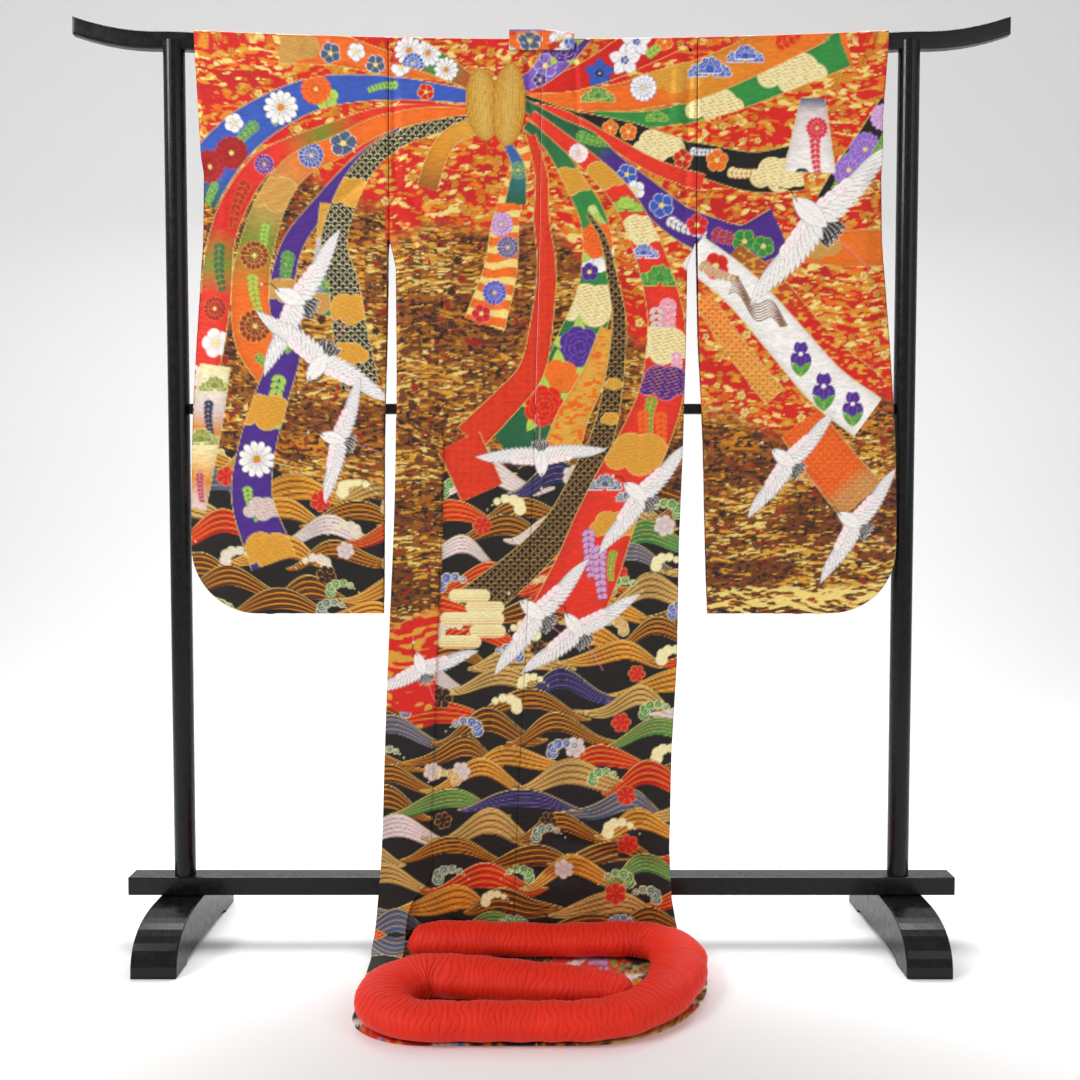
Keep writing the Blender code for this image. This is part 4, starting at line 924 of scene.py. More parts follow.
           ((0.0, Dye.ORANGE), (1.0, Dye.ORANGE)), Fill.STRIPE, Dye.PALE_GOLD, motifs=(
        Motif("mum", 0.5, -0.3, 0.020, Dye.LILAC, Dye.PURPLE), Motif("mum", 0.62, 0.3, 0.018, Dye.SLATE, Dye.LILAC),
        Motif("mum", 0.85, 0.0, 0.020, Dye.BLUE, Dye.LILAC), Motif("bloom", 0.96, -0.3, 0.016, Dye.RED, Dye.PINK))),
    Ribbon("teal", ((-0.07, 1.56), (-0.045, 1.51), (-0.05, 1.44)), 0.006, 0.017,
           ((0.0, Dye.BLUE), (0.6, Dye.TEAL), (1.0, Dye.PINE)), motifs=(
        Motif("mum", 0.55, 0.0, 0.014, Dye.TEAL, Dye.LIME),)),
    Ribbon("green", ((-0.03, 1.59), (0.02, 1.55), (0.07, 1.47), (0.10, 1.41), (0.11, 1.33), (0.10, 1.25),
    (0.07, 1.17), (0.04, 1.09), (0.0, 1.04), (-0.08, 0.98)), 0.008, 0.050,
           ((0.0, Dye.PINE), (0.3, Dye.LEAF), (1.0, Dye.PINE)), motifs=(
        Motif("cloud", 0.20, -0.3, 0.040, Dye.GOLD, Dye.PALE_GOLD),
        Motif("trail", 0.29, 0.2, 0.05, Dye.LIME, Dye.CREAM),
        Motif("bloom", 0.42, -0.3, 0.036, Dye.WHITE, Dye.SLATE), Motif("peony", 0.39, 0.0, 0.030, Dye.ORANGE, Dye.RED),
        Motif("bloom", 0.475, -0.5, 0.015, Dye.PURPLE, Dye.VIOLET),
        Motif("cloud", 0.56, 0.1, 0.062, Dye.CREAM, Dye.PALE_GOLD),
        Motif("peony", 0.67, 0.1, 0.034, Dye.PURPLE, Dye.VIOLET),
        Motif("peony", 0.77, -0.2, 0.036, Dye.ORANGE, Dye.TAWNY),
        Motif("bloom", 0.83, 0.6, 0.026, Dye.PEARL, Dye.SLATE),
        Motif("peony", 0.87, -0.1, 0.034, Dye.RED, Dye.ORANGE))),
    Ribbon("kanoko", ((-0.02, 1.57), (0.0, 1.49), (0.0, 1.41), (0.01, 1.32), (0.0, 1.21), (-0.02, 1.12),
    (-0.07, 1.06), (-0.14, 0.99)), 0.008, 0.026,
           ((0.0, Dye.RED), (1.0, Dye.RED)), Fill.KANOKO, Dye.ORANGE),
    Ribbon("kanoko square", ((-0.160, 0.985), (-0.115, 0.885)), 0.044, 0.044,
           ((0.0, Dye.RED), (1.0, Dye.RED)), Fill.KANOKO, Dye.ORANGE),
    Ribbon("flecked", ((0.13, 1.20), (0.10, 1.11), (0.06, 1.03), (0.04, 0.97)), 0.014, 0.029,
           ((0.0, Dye.GOLD), (1.0, Dye.GOLD)), Fill.FLECK, Dye.ORANGE),
    Ribbon("black scallop", ((0.09, 1.42), (0.12, 1.37), (0.14, 1.28), (0.15, 1.21), (0.14, 1.10), (0.12,
    1.00), (0.09, 0.93), (0.04, 0.83), (-0.03, 0.75), (-0.14, 0.66)), 0.004, 0.033,
           ((0.0, Dye.BLACK), (1.0, Dye.BLACK)), Fill.SCALLOP, Dye.STRAW, motifs=(
        Motif("cloud", 0.45, 0.0, 0.016, Dye.GOLD, Dye.PALE_GOLD),
        Motif("cloud", 0.52, 0.3, 0.018, Dye.GOLD, Dye.PALE_GOLD))),
    Ribbon("scarlet", ((-0.02, 1.61), (0.03, 1.57), (0.09, 1.52), (0.15, 1.46), (0.19, 1.39), (0.22, 1.31),
    (0.24, 1.22), (0.24, 1.14), (0.23, 1.07), (0.20, 0.99), (0.16, 0.91), (0.12, 0.82), (0.09, 0.74),
        (0.05, 0.65)), 0.008, 0.056,
           ((0.0, Dye.SCARLET), (1.0, Dye.SCARLET)), motifs=(
        Motif("mum", 0.13, 0.0, 0.016, Dye.WHITE, Dye.PINK), Motif("cloud", 0.19, 0.0, 0.040, Dye.GOLD, Dye.PALE_GOLD),
        Motif("pine", 0.26, -0.2, 0.024, Dye.LIME, Dye.LEAF),
        Motif("cloud", 0.31, 0.1, 0.045, Dye.CREAM, Dye.PALE_GOLD),
        Motif("pine", 0.35, -0.4, 0.022, Dye.BLUE, Dye.WHITE), Motif("pine", 0.40, 0.1, 0.032, Dye.LEAF, Dye.LIME),
        Motif("hang", 0.43, 0.3, 0.10, Dye.PINK, Dye.WHITE), Motif("hang", 0.44, -0.4, 0.09, Dye.PEARL, Dye.RED),
        Motif("cloud", 0.51, -0.2, 0.055, Dye.CREAM, Dye.PALE_GOLD),
        Motif("hang", 0.52, 0.5, 0.07, Dye.PINK, Dye.WHITE),
        Motif("cloud", 0.585, 0.1, 0.050, Dye.PURPLE, Dye.LILAC), Motif("trail", 0.62, -0.3, 0.07, Dye.MOSS, Dye.LIME),
        Motif("hang", 0.64, 0.2, 0.08, Dye.ORANGE, Dye.SCARLET),
        Motif("hang", 0.65, -0.5, 0.07, Dye.ORANGE, Dye.SCARLET),
        Motif("cloud", 0.72, 0.1, 0.062, Dye.GOLD, Dye.PALE_GOLD),
        Motif("pine", 0.79, -0.5, 0.024, Dye.SLATE, Dye.WHITE),
        Motif("pine", 0.79, 0.5, 0.022, Dye.SLATE, Dye.WHITE),
        Motif("cloud", 0.84, 0.3, 0.042, Dye.GOLD, Dye.PALE_GOLD),
        Motif("hang", 0.86, -0.4, 0.08, Dye.LILAC, Dye.PURPLE), Motif("hang", 0.88, 0.1, 0.09, Dye.LILAC, Dye.PURPLE),
        Motif("trail", 0.88, 0.6, 0.05, Dye.MOSS, Dye.LIME))),
    Ribbon("side red", ((0.37, 1.35), (0.45, 1.28), (0.54, 1.17), (0.64, 1.08)), 0.019, 0.033,
           ((0.0, Dye.BRONZE), (0.5, Dye.RED), (1.0, Dye.RED)), Fill.FLECK, Dye.GOLD),
    Ribbon("side orange", ((0.31, 1.26), (0.37, 1.17), (0.45, 1.07)), 0.019, 0.023,
           ((0.0, Dye.ORANGE), (1.0, Dye.TAWNY)), Fill.SCALLOP, Dye.PALE_GOLD),
    Ribbon("tile", ((0.50, 1.02), (0.56, 0.94), (0.62, 0.87)), 0.046, 0.052,
           ((0.0, Dye.ORANGE), (0.7, Dye.ORANGE), (0.85, Dye.STRAW), (1.0, Dye.STRAW)), Fill.SCALLOP, Dye.RED),
    Ribbon("stream", ((0.29, 1.35), (0.38, 1.28), (0.47, 1.18), (0.55, 1.09), (0.63, 1.03)), 0.035, 0.045,
           ((0.0, Dye.WHITE), (1.0, Dye.WHITE)), motifs=(
        Motif("bloom", 0.12, 0.1, 0.022, Dye.RED, Dye.ORANGE), Motif("trail", 0.06, -0.3, 0.07, Dye.STRAW, Dye.PEARL),
        Motif("stream", 0.34, -0.1, 0.044, Dye.BRONZE, Dye.UMBER),
        Motif("iris", 0.58, 0.1, 0.024, Dye.PURPLE, Dye.VIOLET),
        Motif("iris", 0.74, -0.1, 0.026, Dye.PURPLE, Dye.VIOLET),
        Motif("iris", 0.90, 0.1, 0.024, Dye.PURPLE, Dye.VIOLET))),
    Ribbon("zigzag", ((0.50, 1.36), (0.58, 1.355), (0.69, 1.36)), 0.033, 0.037,
           ((0.0, Dye.ORANGE), (1.0, Dye.ORANGE)), Fill.ZIGZAG, Dye.TAWNY, motifs=(
        Motif("cloud", 0.2, 0.1, 0.040, Dye.STRAW, Dye.GOLD),)),
    Ribbon("pansy", ((0.55, 1.44), (0.59, 1.50), (0.63, 1.55), (0.68, 1.62)), 0.025, 0.037,
           ((0.0, Dye.BLACK), (1.0, Dye.BLACK)), motifs=(
        Motif("trail", 0.1, 0.0, 0.07, Dye.LEAF, Dye.LIME), Motif("mum", 0.35, 0.1, 0.026, Dye.VIOLET, Dye.LILAC),
        Motif("mum", 0.62, 0.1, 0.027, Dye.VIOLET, Dye.LILAC), Motif("trail", 0.6, -0.6, 0.06, Dye.LEAF, Dye.LIME),
        Motif("mum", 0.9, 0.3, 0.022, Dye.LILAC, Dye.VIOLET))),
    Ribbon("berry panel", ((0.52, 1.64), (0.515, 1.50)), 0.024, 0.050,
           ((0.0, Dye.SLATE), (0.2, Dye.PEARL), (1.0, Dye.WHITE)), motifs=(
        Motif("trail", 0.95, -0.3, 0.09, Dye.NAVY, Dye.SLATE), Motif("hang", 0.45, 0.2, 0.07, Dye.RED, Dye.PINK),
        Motif("mum", 0.4, 0.3, 0.018, Dye.RED, Dye.PINK))),
)


@dataclass(frozen=True)
class Crane:
    """One flying crane: its breast, wing length, direction and the side it lifts."""

    x: float
    z: float
    size: float
    turn: float
    lean: float


CRANES = (
    Crane(-0.48, 1.26, 0.125, 2.7, -1.0), Crane(-0.43, 1.13, 0.125, -2.2, 1.0), Crane(-0.40, 0.99, 0.10, 2.9, -1.0),
    Crane(0.52, 1.42, 0.165, 2.45, -1.0), Crane(0.47, 0.95, 0.105, 2.5, -1.0), Crane(0.60, 0.83, 0.105, 2.6, -1.0),
    Crane(0.00, 0.945, 0.100, -1.55, 1.0), Crane(0.185, 0.885, 0.110, 2.5, -1.0),
    Crane(-0.015, 0.655, 0.115, 2.5, -1.0), Crane(0.065, 0.625, 0.110, 2.2, -1.0), Crane(-0.235, 0.55, 0.09, 1.9, 1.0),
)


def compose(art: Cartoon) -> None:
    """Draw the whole design: grounds, water, ribbons in their order, knot, mist and cranes."""
    needle = Needle(art)
    loom = Loom(art, needle)
    loom.ground()
    loom.water()
    for ribbon in RIBBONS:
        loom.ribbon(ribbon)
    needle.mist(-0.13, 0.64, 0.10, Dye.CREAM)
    knot(art, needle)
    for bird in CRANES:
        needle.crane(bird.x, bird.z, 1.12 * bird.size, bird.turn, bird.lean)


def knot(art: Cartoon, needle: Needle) -> None:
    """The gold knot of the bundle: two long lobes side by side, each ribbed lengthwise, with a painted highlight down
    its middle.
    """
    for step, lean, reach in ((-0.030, 0.10, 0.068), (0.020, -0.06, 0.078)):
        patch = art.patch(-0.083 + step, 1.628, 0.05, 0.09)
        out = patch.x * math.cos(lean) + patch.z * math.sin(lean)
        along = patch.z * math.cos(lean) - patch.x * math.sin(lean)
        half = 0.031 * np.sqrt(np.clip(1.0 - (along / reach) ** 2, 0.0, 1.0))
        edge = np.abs(out) - half
        art.lay(patch, art.cover(edge - 1.2 * MM), Dye.BRONZE, 0.5, 0.4)
        art.lay(patch, art.cover(edge), Dye.GOLD, 0.85, 0.9)
        rib = out / (half + 1e-6) * 4.5
        line = art.cover(np.abs(rib - np.round(rib)) * half / 4.5 - 0.5 * MM)
        art.lay(patch, line * art.cover(edge + 1.0 * MM) * 0.8, Dye.BROWN, 0.3, 0.5)
        # painted highlight: pale gold laid down the middle of each lobe, fading to its edges
        painted_sheen = smooth(1.0 - np.abs(out) / (half + 1e-6)) * art.cover(edge)
        art.lay(patch, painted_sheen * 0.35, Dye.PALE_GOLD, 0.85, 1.0)


# ---------------------------------------------------------------- geometry
CLOTH = 2.4 * MM
BAR_TOP, BAR_SAG, BAR_LIFT = 1.770, 0.018, 0.028
BAR_HALF, LIFT_FROM, POST_X = 0.900, 0.740, 0.708
BAR_REACH = 14.2 * MM      # from the bar's middle plane to the cloth's middle beside it
BAR_CURL = 7.2 * MM        # radius of the cloth's middle over the bar's edges
BAR_ROUND = 5.0 * MM
BAR_Y = (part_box("top_bar")[0][1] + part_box("top_bar")[1][1]) / 2
SLIT_END, CUFF_END = 1.030, 1.540
SLEEVE_LOW, SLEEVE_ROUND = 0.650, 0.127
OKUMI_EDGE, OKUMI_POINT, FRONT_EDGE, COLLAR_LAP = 0.115, 1.500, 0.010, 0.010
FINE, COARSE = 2.65 * MM, 4.8 * MM


@dataclass(frozen=True)
class Table:
    """A short table: heights, and named columns of values at those heights."""

    height: tuple
    columns: dict

    def at(self, name: str, height: np.ndarray) -> np.ndarray:
        """Read a column at heights between the rows."""
        return np.interp(height, self.height, self.columns[name])


BODY = Table((0.0, 0.05, 0.09, 0.19, 0.38, 0.56, 0.79, 0.97, 1.16, 1.32, 1.372, 1.8), {
    "left": (-0.325, -0.321, -0.319, -0.311, -0.305, -0.298, -0.287, -0.281, -0.280, -0.281, -0.293, -0.293),
    "seam": (-0.056, -0.054, -0.052, -0.049, -0.041, -0.031, -0.021, -0.014, -0.009, -0.004, -0.003, 0.003),
    "right": (0.272, 0.262, 0.255, 0.250, 0.254, 0.264, 0.267, 0.274, 0.279, 0.281, 0.298, 0.298),
})
SLEEVES = Table((0.65, 0.83, 0.97, 1.18, 1.371, 1.372, 1.5, 1.6, 1.8), {
    "left_inner": (-0.307, -0.305, -0.304, -0.299, -0.297, -0.2942, -0.2942, -0.2942, -0.2942),
    "left_outer": (-0.680, -0.681, -0.678, -0.668, -0.656, -0.656, -0.653, -0.658, -0.668),
    "right_inner": (0.323, 0.317, 0.313, 0.303, 0.3003, 0.2992, 0.2992, 0.2992, 0.2992),
    "right_outer": (0.690, 0.690, 0.686, 0.674, 0.660, 0.660, 0.657, 0.655, 0.668),
})
HANG = Table((0.0, 0.13, 0.652, 0.70, 1.06, 1.372, 1.76), {
    "back": (-0.0400, -0.0345, -0.0262, -0.0254, -0.0197, -0.0169, -0.0142),
    "front": (-0.0300, -0.0282, -0.0048, -0.0026, 0.0135, 0.0138, 0.0142),
    "sleeve_back": (-0.0215, -0.0215, -0.0215, -0.0255, -0.0255, -0.0169, -0.0142),
    "sleeve_front": (-0.0180, -0.0180, -0.0180, -0.0135, -0.0135, 0.0138, 0.0142),
})
COLLAR = Table((0.88, 1.05, 1.25, 1.4, 1.5, 1.6, 1.69, 1.74), {
    "inner": (0.010, 0.015, 0.028, 0.042, 0.050, 0.040, 0.016, 0.00015),
    "outer": (0.085, 0.090, 0.103, 0.117, 0.125, 0.114, 0.086, 0.062),
})


def bar_top(x: np.ndarray) -> np.ndarray:
    """Height of the bar's top: a parabola between the posts, curved up at the ends."""
    sag = BAR_SAG * np.clip(1.0 - (x / POST_X) ** 2, 0.0, None)
    lift = BAR_LIFT * (np.clip(np.abs(x) - LIFT_FROM, 0.0, None) / (BAR_HALF - LIFT_FROM)) ** 2
    return BAR_TOP - sag + lift


def add_mesh(name: str, points: np.ndarray, faces: np.ndarray) -> bpy.types.Object:
    """Make a smooth object at the origin from points and faces."""
    mesh = bpy.data.meshes.new(name)
    mesh.from_pydata(points.reshape(-1, 3), [], faces)
    mesh.shade_smooth()
    piece = bpy.data.objects.new(name, mesh)
    bpy.context.scene.collection.objects.link(piece)
    return piece


def grid_faces(rows: int, cols: int, flip: bool, closed: bool = False) -> np.ndarray:
    """Quads of a grid of points, row by row, with the last column joined to the first if closed."""
    index = np.arange(rows * cols).reshape(rows, cols)
    if closed:
        index = np.hstack([index, index[:, :1]])
    a, b, c, d = index[:-1, :-1], index[:-1, 1:], index[1:, 1:], index[1:, :-1]
    order = (a, d, c, b) if flip else (a, b, c, d)
    return np.stack(order, axis=-1).reshape(-1, 4)


def surface_normals(points: np.ndarray, flip: bool) -> np.ndarray:
    """Unit normals of a grid, from its steps across and along."""
    across = np.gradient(points, axis=1)
    along = np.gradient(points, axis=0)
    normal = np.cross(across, along)
    normal /= np.linalg.norm(normal, axis=2, keepdims=True) + 1e-12
    return -normal if flip else normal


def sheet_mesh(name: str, points: np.ndarray, flip: bool, wall: float) -> bpy.types.Object:
    """Make a cloth sheet: a grid whose whole border is turned in by the wall's thickness."""
    rows, cols = points.shape[:2]
    inner = points - surface_normals(points, flip) * wall
    index = np.arange(rows * cols).reshape(rows, cols)
    ring = np.concatenate([index[0, :-1], index[:-1, -1], index[-1, :0:-1], index[:0:-1, 0]])
    rim = rows * cols + np.arange(len(ring))
    after, rim_after = np.roll(ring, -1), np.roll(rim, -1)
    order = (ring, after, rim_after, rim) if flip else (ring, rim, rim_after, after)
    skirt = np.stack(order, axis=-1)
    verts = np.vstack([points.reshape(-1, 3), inner.reshape(-1, 3)[ring]])
    piece = add_mesh(name, verts, np.vstack([grid_faces(rows, cols, flip), skirt]))
    piece["ring"] = ring.tolist()
    return piece


def weave_in(piece: bpy.types.Object, art: Cartoon, x: np.ndarray, z: np.ndarray) -> None:
    """Store the drawing on a sheet's points, as colour with metal, and height.

    Args:
        piece: a sheet made by sheet_mesh.
        art: the drawing.
        x: the drawing's place across, for each point of the grid.
        z: the drawing's place up.
    """
    ring = np.array(piece["ring"], int)
    del piece["ring"]
    rgb, metal, relief = art.sample(x, z)
    colour = np.concatenate([rgb, metal[..., None]], axis=-1).reshape(-1, 4)
    colour = np.vstack([colour, colour[ring]]).astype(np.float32)
    height = np.concatenate([relief.ravel(), relief.ravel()[ring]]).astype(np.float32)
    figure = piece.data.attributes.new("figure", "FLOAT_COLOR", "POINT")
    figure.data.foreach_set("color", colour.ravel())
    metal_part = piece.data.attributes.new("metal_thread", "FLOAT", "POINT")
    metal_part.data.foreach_set("value", np.ascontiguousarray(colour[:, 3]))
    raised = piece.data.attributes.new("raised", "FLOAT", "POINT")
    raised.data.foreach_set("value", height)
    flat = np.stack([x, z], axis=-1).reshape(-1, 2)
    flat = np.vstack([flat, flat[ring]]).astype(np.float32)
    layer = piece.data.uv_layers.new(name="cloth")
    corner = np.empty(len(piece.data.loops), np.int32)
    piece.data.loops.foreach_get("vertex_index", corner)
    layer.data.foreach_set("uv", flat[corner].ravel())


@dataclass(frozen=True)
class Crease:
    """One crease: a soft trough (or a ridge, with a negative depth) between two places."""

    x0: float
    z0: float
    x1: float
    z1: float
    width: float
    depth: float


CREASES = (
    Crease(-0.285, 1.50, -0.16, 1.33, 0.012, 4.0 * MM), Crease(-0.29, 1.44, -0.20, 1.28, 0.010, 3.0 * MM),
    Crease(-0.27, 1.36, -0.13, 1.27, 0.016, -2.5 * MM), Crease(0.285, 1.74, 0.275, 1.40, 0.008, 5.0 * MM),
    Crease(0.262, 1.74, 0.258, 1.55, 0.010, -3.0 * MM), Crease(-0.285, 1.74, -0.280, 1.45, 0.008, 4.5 * MM),
    Crease(0.31, 1.50, 0.47, 1.475, 0.010, 3.5 * MM), Crease(0.31, 1.575, 0.44, 1.64, 0.010, 3.0 * MM),
    Crease(0.31, 1.385, 0.52, 1.372, 0.008, 3.5 * MM), Crease(0.50, 1.345, 0.66, 1.335, 0.008, 3.0 * MM),
    Crease(0.32, 1.25, 0.42, 1.12, 0.014, 2.5 * MM), Crease(-0.31, 1.60, -0.44, 1.56, 0.010, 3.0 * MM),
    Crease(-0.31, 1.51, -0.40, 1.44, 0.010, 2.5 * MM), Crease(-0.33, 1.70, -0.45, 1.735, 0.009, 2.5 * MM),
    Crease(0.03, 0.21, 0.245, 0.15, 0.016, 6.0 * MM), Crease(0.05, 0.165, 0.25, 0.245, 0.012, -4.0 * MM),
    Crease(-0.10, 0.16, 0.06, 0.13, 0.014, 4.0 * MM), Crease(0.12, 0.27, 0.25, 0.33, 0.020, 3.0 * MM),
    Crease(-0.03, 1.76, -0.02, 1.60, 0.006, 3.0 * MM), Crease(0.06, 1.76, 0.075, 1.52, 0.006, 2.5 * MM),
    Crease(-0.20, 1.04, -0.02, 0.99, 0.010, 1.5 * MM), Crease(-0.19, 0.62, 0.24, 0.60, 0.006, 1.2 * MM),
    Crease(-0.19, 1.245, 0.27, 1.255, 0.005, 1.2 * MM), Crease(-0.60, 1.20, -0.33, 1.21, 0.005, 1.0 * MM),
    Crease(0.33, 0.93, 0.67, 0.92, 0.005, 1.0 * MM), Crease(-0.66, 0.80, -0.33, 0.81, 0.005, 1.0 * MM),
    Crease(-0.11, 1.32, -0.06, 1.10, 0.014, 2.5 * MM), Crease(0.17, 1.08, 0.20, 0.70, 0.022, 2.0 * MM),
    Crease(-0.08, 0.85, -0.10, 0.40, 0.026, 2.2 * MM), Crease(0.07, 0.60, 0.10, 0.28, 0.024, 2.4 * MM),
)


def creased(x: np.ndarray, z: np.ndarray, mirror: bool) -> np.ndarray:
    """Depth of all creases: each is depth * exp(-(distance / width) ** 2) round its line."""
    depth = np.zeros_like(x)
    for crease in CREASES:
        sign = -1.0 if mirror else 1.0
        ax, az, bx, bz = sign * crease.x0, crease.z0, sign * crease.x1, crease.z1
        long = math.hypot(bx - ax, bz - az)
        dx, dz = (bx - ax) / long, (bz - az) / long
        along = np.clip((x - ax) * dx + (z - az) * dz, 0.0, long)
        away = np.hypot(x - ax - along * dx, z - az - along * dz)
        taper = 0.35 + 0.65 * np.sin(np.pi * np.clip(along / long, 0.05, 0.95))
        depth += 1.6 * crease.depth * taper * np.exp(-((away / crease.width) ** 2))
    return depth


def drape(x: np.ndarray, z: np.ndarray, seam: np.ndarray) -> np.ndarray:
    """Small hollows of hanging cloth: broad folds, seam dips and the puckers beside seams.

    Args:
        x: place across.
        z: height.
        seam: distance to the nearest seam or edge.

    Returns:
        Depth below the smooth form, in metres, never less than zero by more than 1 mm.
    """
    down = smooth(1.70 - z, 0.0, 0.5)
    broad = 0.0012 * down * (1.0 + np.sin(19.0 * x + 2.1 * z) * np.sin(3.0 * z + 0.6))
    flow = 0.0016 * down * np.sin(41.0 * x + 3.0 * np.sin(2.3 * z)) * smooth(1.3 - z, 0.0, 0.6)
    dip = 0.0016 * np.exp(-((seam / 0.003) ** 2))
    pucker = 0.0007 * np.exp(-seam / 0.014) * np.sin(z * 420.0 + 3.0 * np.sin(z * 97.0))
    ripple = 0.0004 * np.sin(150.0 * x + 40.0 * np.sin(11.0 * z)) * np.sin(170.0 * z + 9.0 * x)
    return -broad + flow + dip + pucker + ripple


@dataclass
class HangingPanel:
    """A panel that hangs from the bar: back, front or one side of a sleeve.

    Attributes:
        name: the piece's name.
        node: the solid it stands for.
        layer: its column of the HANG table.
        side: -1 on the back's side of the bar, 1 on the fronts' side.
        low: its lower end.
        edges: its two edges' places across, as functions of the height.
        spacing: distance between its points.
        ends: Y where it ends on the bar's top.
        round_corner: whether its lower outer corner is rounded, as on a sleeve.
        top: where it ends, if that is below the bar.
    """

    name: str
    node: str
    layer: str
    side: float
    low: float
    edges: object
    spacing: float
    ends: float
    round_corner: bool = False
    top: float = None

    def heights(self) -> np.ndarray:
        """Heights of the hanging rows, closer together round a sleeve's lower corner."""
        top = self.top if self.top else 1.7455
        if not self.round_corner:
            return np.linspace(self.low, top, int((top - self.low) / self.spacing))
        turn = np.linspace(0.0, np.pi / 2, int(SLEEVE_ROUND * np.pi / 2 / self.spacing))
        corner = self.low + SLEEVE_ROUND * (1.0 - np.cos(turn))
        rest = np.linspace(corner[-1], top, int((top - corner[-1]) / self.spacing))
        return np.concatenate([corner, rest[1:]])

    def build(self, art: Cartoon) -> bpy.types.Object:
        """Make the sheet and weave the drawing into it.

        Args:
            art: the drawing.

        Returns:
            The finished sheet, undressed.
        """
        heights = self.heights()
        near, far = self.edges(heights)
        cols = int(np.max(np.abs(far - near)) / self.spacing)
        share = np.linspace(0.0, 1.0, cols)[None, :]
        x = near[:, None] + (far - near)[:, None] * share
        z = np.repeat(heights[:, None], cols, axis=1)
        seam = np.minimum(np.abs(x - near[:, None]), np.abs(far[:, None] - x))
        base = HANG.at(self.layer, heights)[:, None] + np.zeros_like(x)
        y = self.bend(base, x, z) + self.side * (CLOTH / 2 - drape(x, z, seam) - self.hollows(x, z))
        points, draw_x, draw_z = [np.stack([x, y + BAR_Y, z], axis=-1)], [x], [z]
        if self.top is None:
            over, length = self.over_bar(x[-1])
            points.append(over)
            draw_x.append(np.repeat(x[-1:], len(over), axis=0))
            draw_z.append(z[-1, 0] + length)
        grid = np.concatenate(points)
        flip = (self.side > 0) != (far[0] < near[0])
        piece = sheet_mesh(self.name, grid, flip, CLOTH)
        across, up = np.concatenate(draw_x), np.concatenate(draw_z)
        weave_in(piece, art, -self.side * across, up)
        return piece

    def hollows(self, x: np.ndarray, z: np.ndarray) -> np.ndarray:
        """The panel's creases, kept off the strip that the side fold lies on."""
        keep = 1.0 - smooth(-x, 0.17, 0.20) * smooth(1.06 - z, 0.0, 0.05) * (self.layer == "back")
        return creased(x, z, self.side > 0) * keep * (0.35 if self.side > 0 else 1.0)

    def bend(self, y: np.ndarray, x: np.ndarray, z: np.ndarray) -> np.ndarray:
        """Bring the panel's outer edge to its partner's, at the side seams and sleeve edges."""
        if self.layer.startswith("sleeve"):
            sewn = smooth(CUFF_END - z, 0.0, 0.05)
            middle = (HANG.at("sleeve_back", z) + HANG.at("sleeve_front", z)) / 2
            outer = SLEEVES.at("left_outer" if x.mean() < 0 else "right_outer", z)
            corner = np.clip(SLEEVE_ROUND - (z - self.low), 0.0, SLEEVE_ROUND)
            rim = np.abs(outer) - (SLEEVE_ROUND - np.sqrt(SLEEVE_ROUND ** 2 - corner ** 2)) * (z < self.low + SLEEVE_ROUND)
            reach = np.minimum(np.clip(rim - np.abs(x), 0.0, None), z - self.low + 0.004)
            close = sewn * (1.0 - smooth(reach, 0.0, 0.045))
            meet = middle + self.side * 0.4 * MM
            return y + (meet - y) * close
        if self.layer == "front":
            sewn = smooth(SLIT_END - z, 0.0, 0.06)
            edge = BODY.at("left" if x.mean() < 0 else "right", z)
            close = sewn * (1.0 - smooth(np.abs(edge) - np.abs(x), 0.0, 0.04))
            meet = HANG.at("back", z) + CLOTH + 1.3 * MM
            return y + (meet - y) * close
        return y

    def over_bar(self, x: np.ndarray) -> tuple:
        """Rows over the bar: a quarter circle round its edge, then flat to where the cloth ends."""
        turn = np.radians(np.linspace(0.0, 90.0, 8))
        reach = BAR_CURL + CLOTH / 2
        edge = BAR_REACH - BAR_CURL
        y = np.concatenate([self.side * (edge + reach * np.cos(turn)), [self.ends]])
        rise = np.concatenate([reach * np.sin(turn), [reach]]) - BAR_ROUND
        rows = np.empty((len(y), len(x), 3))
        rows[..., 0] = x
        rows[..., 1] = y[:, None] + BAR_Y
        rows[..., 2] = bar_top(x)[None, :] + rise[:, None]
        run = np.concatenate([reach * turn, [reach * turn[-1] + edge]]) + 0.004
        return rows, np.repeat(run[:, None], len(x), axis=1)


@dataclass(frozen=True)
class RollPoint:
    """One section of the padded hem: its middle on the floor, half width and height."""

    x: float
    y: float
    half: float
    high: float


@dataclass(frozen=True)
class Turn:
    """A turn of the padded hem: part of an ellipse, from one angle in degrees to another."""

    x: float
    y: float
    reach_x: float
    reach_y: float
    start: float
    stop: float
    half_start: float
    half_stop: float
    high_start: float
    high_stop: float

    def points(self) -> list:
        """Sections of the roll round the turn, at even angles."""
        steps = round(abs(self.stop - self.start) / 13.0)
        found = []
        for share in np.linspace(0.0, 1.0, steps + 1):
            angle = math.radians(self.start + (self.stop - self.start) * share)
            half = self.half_start + (self.half_stop - self.half_start) * share
            high = self.high_start + (self.high_stop - self.high_start) * share
            middle = (self.x + self.reach_x * math.cos(angle), self.y + self.reach_y * math.sin(angle))
            found.append(RollPoint(*middle, half, high))
        return found


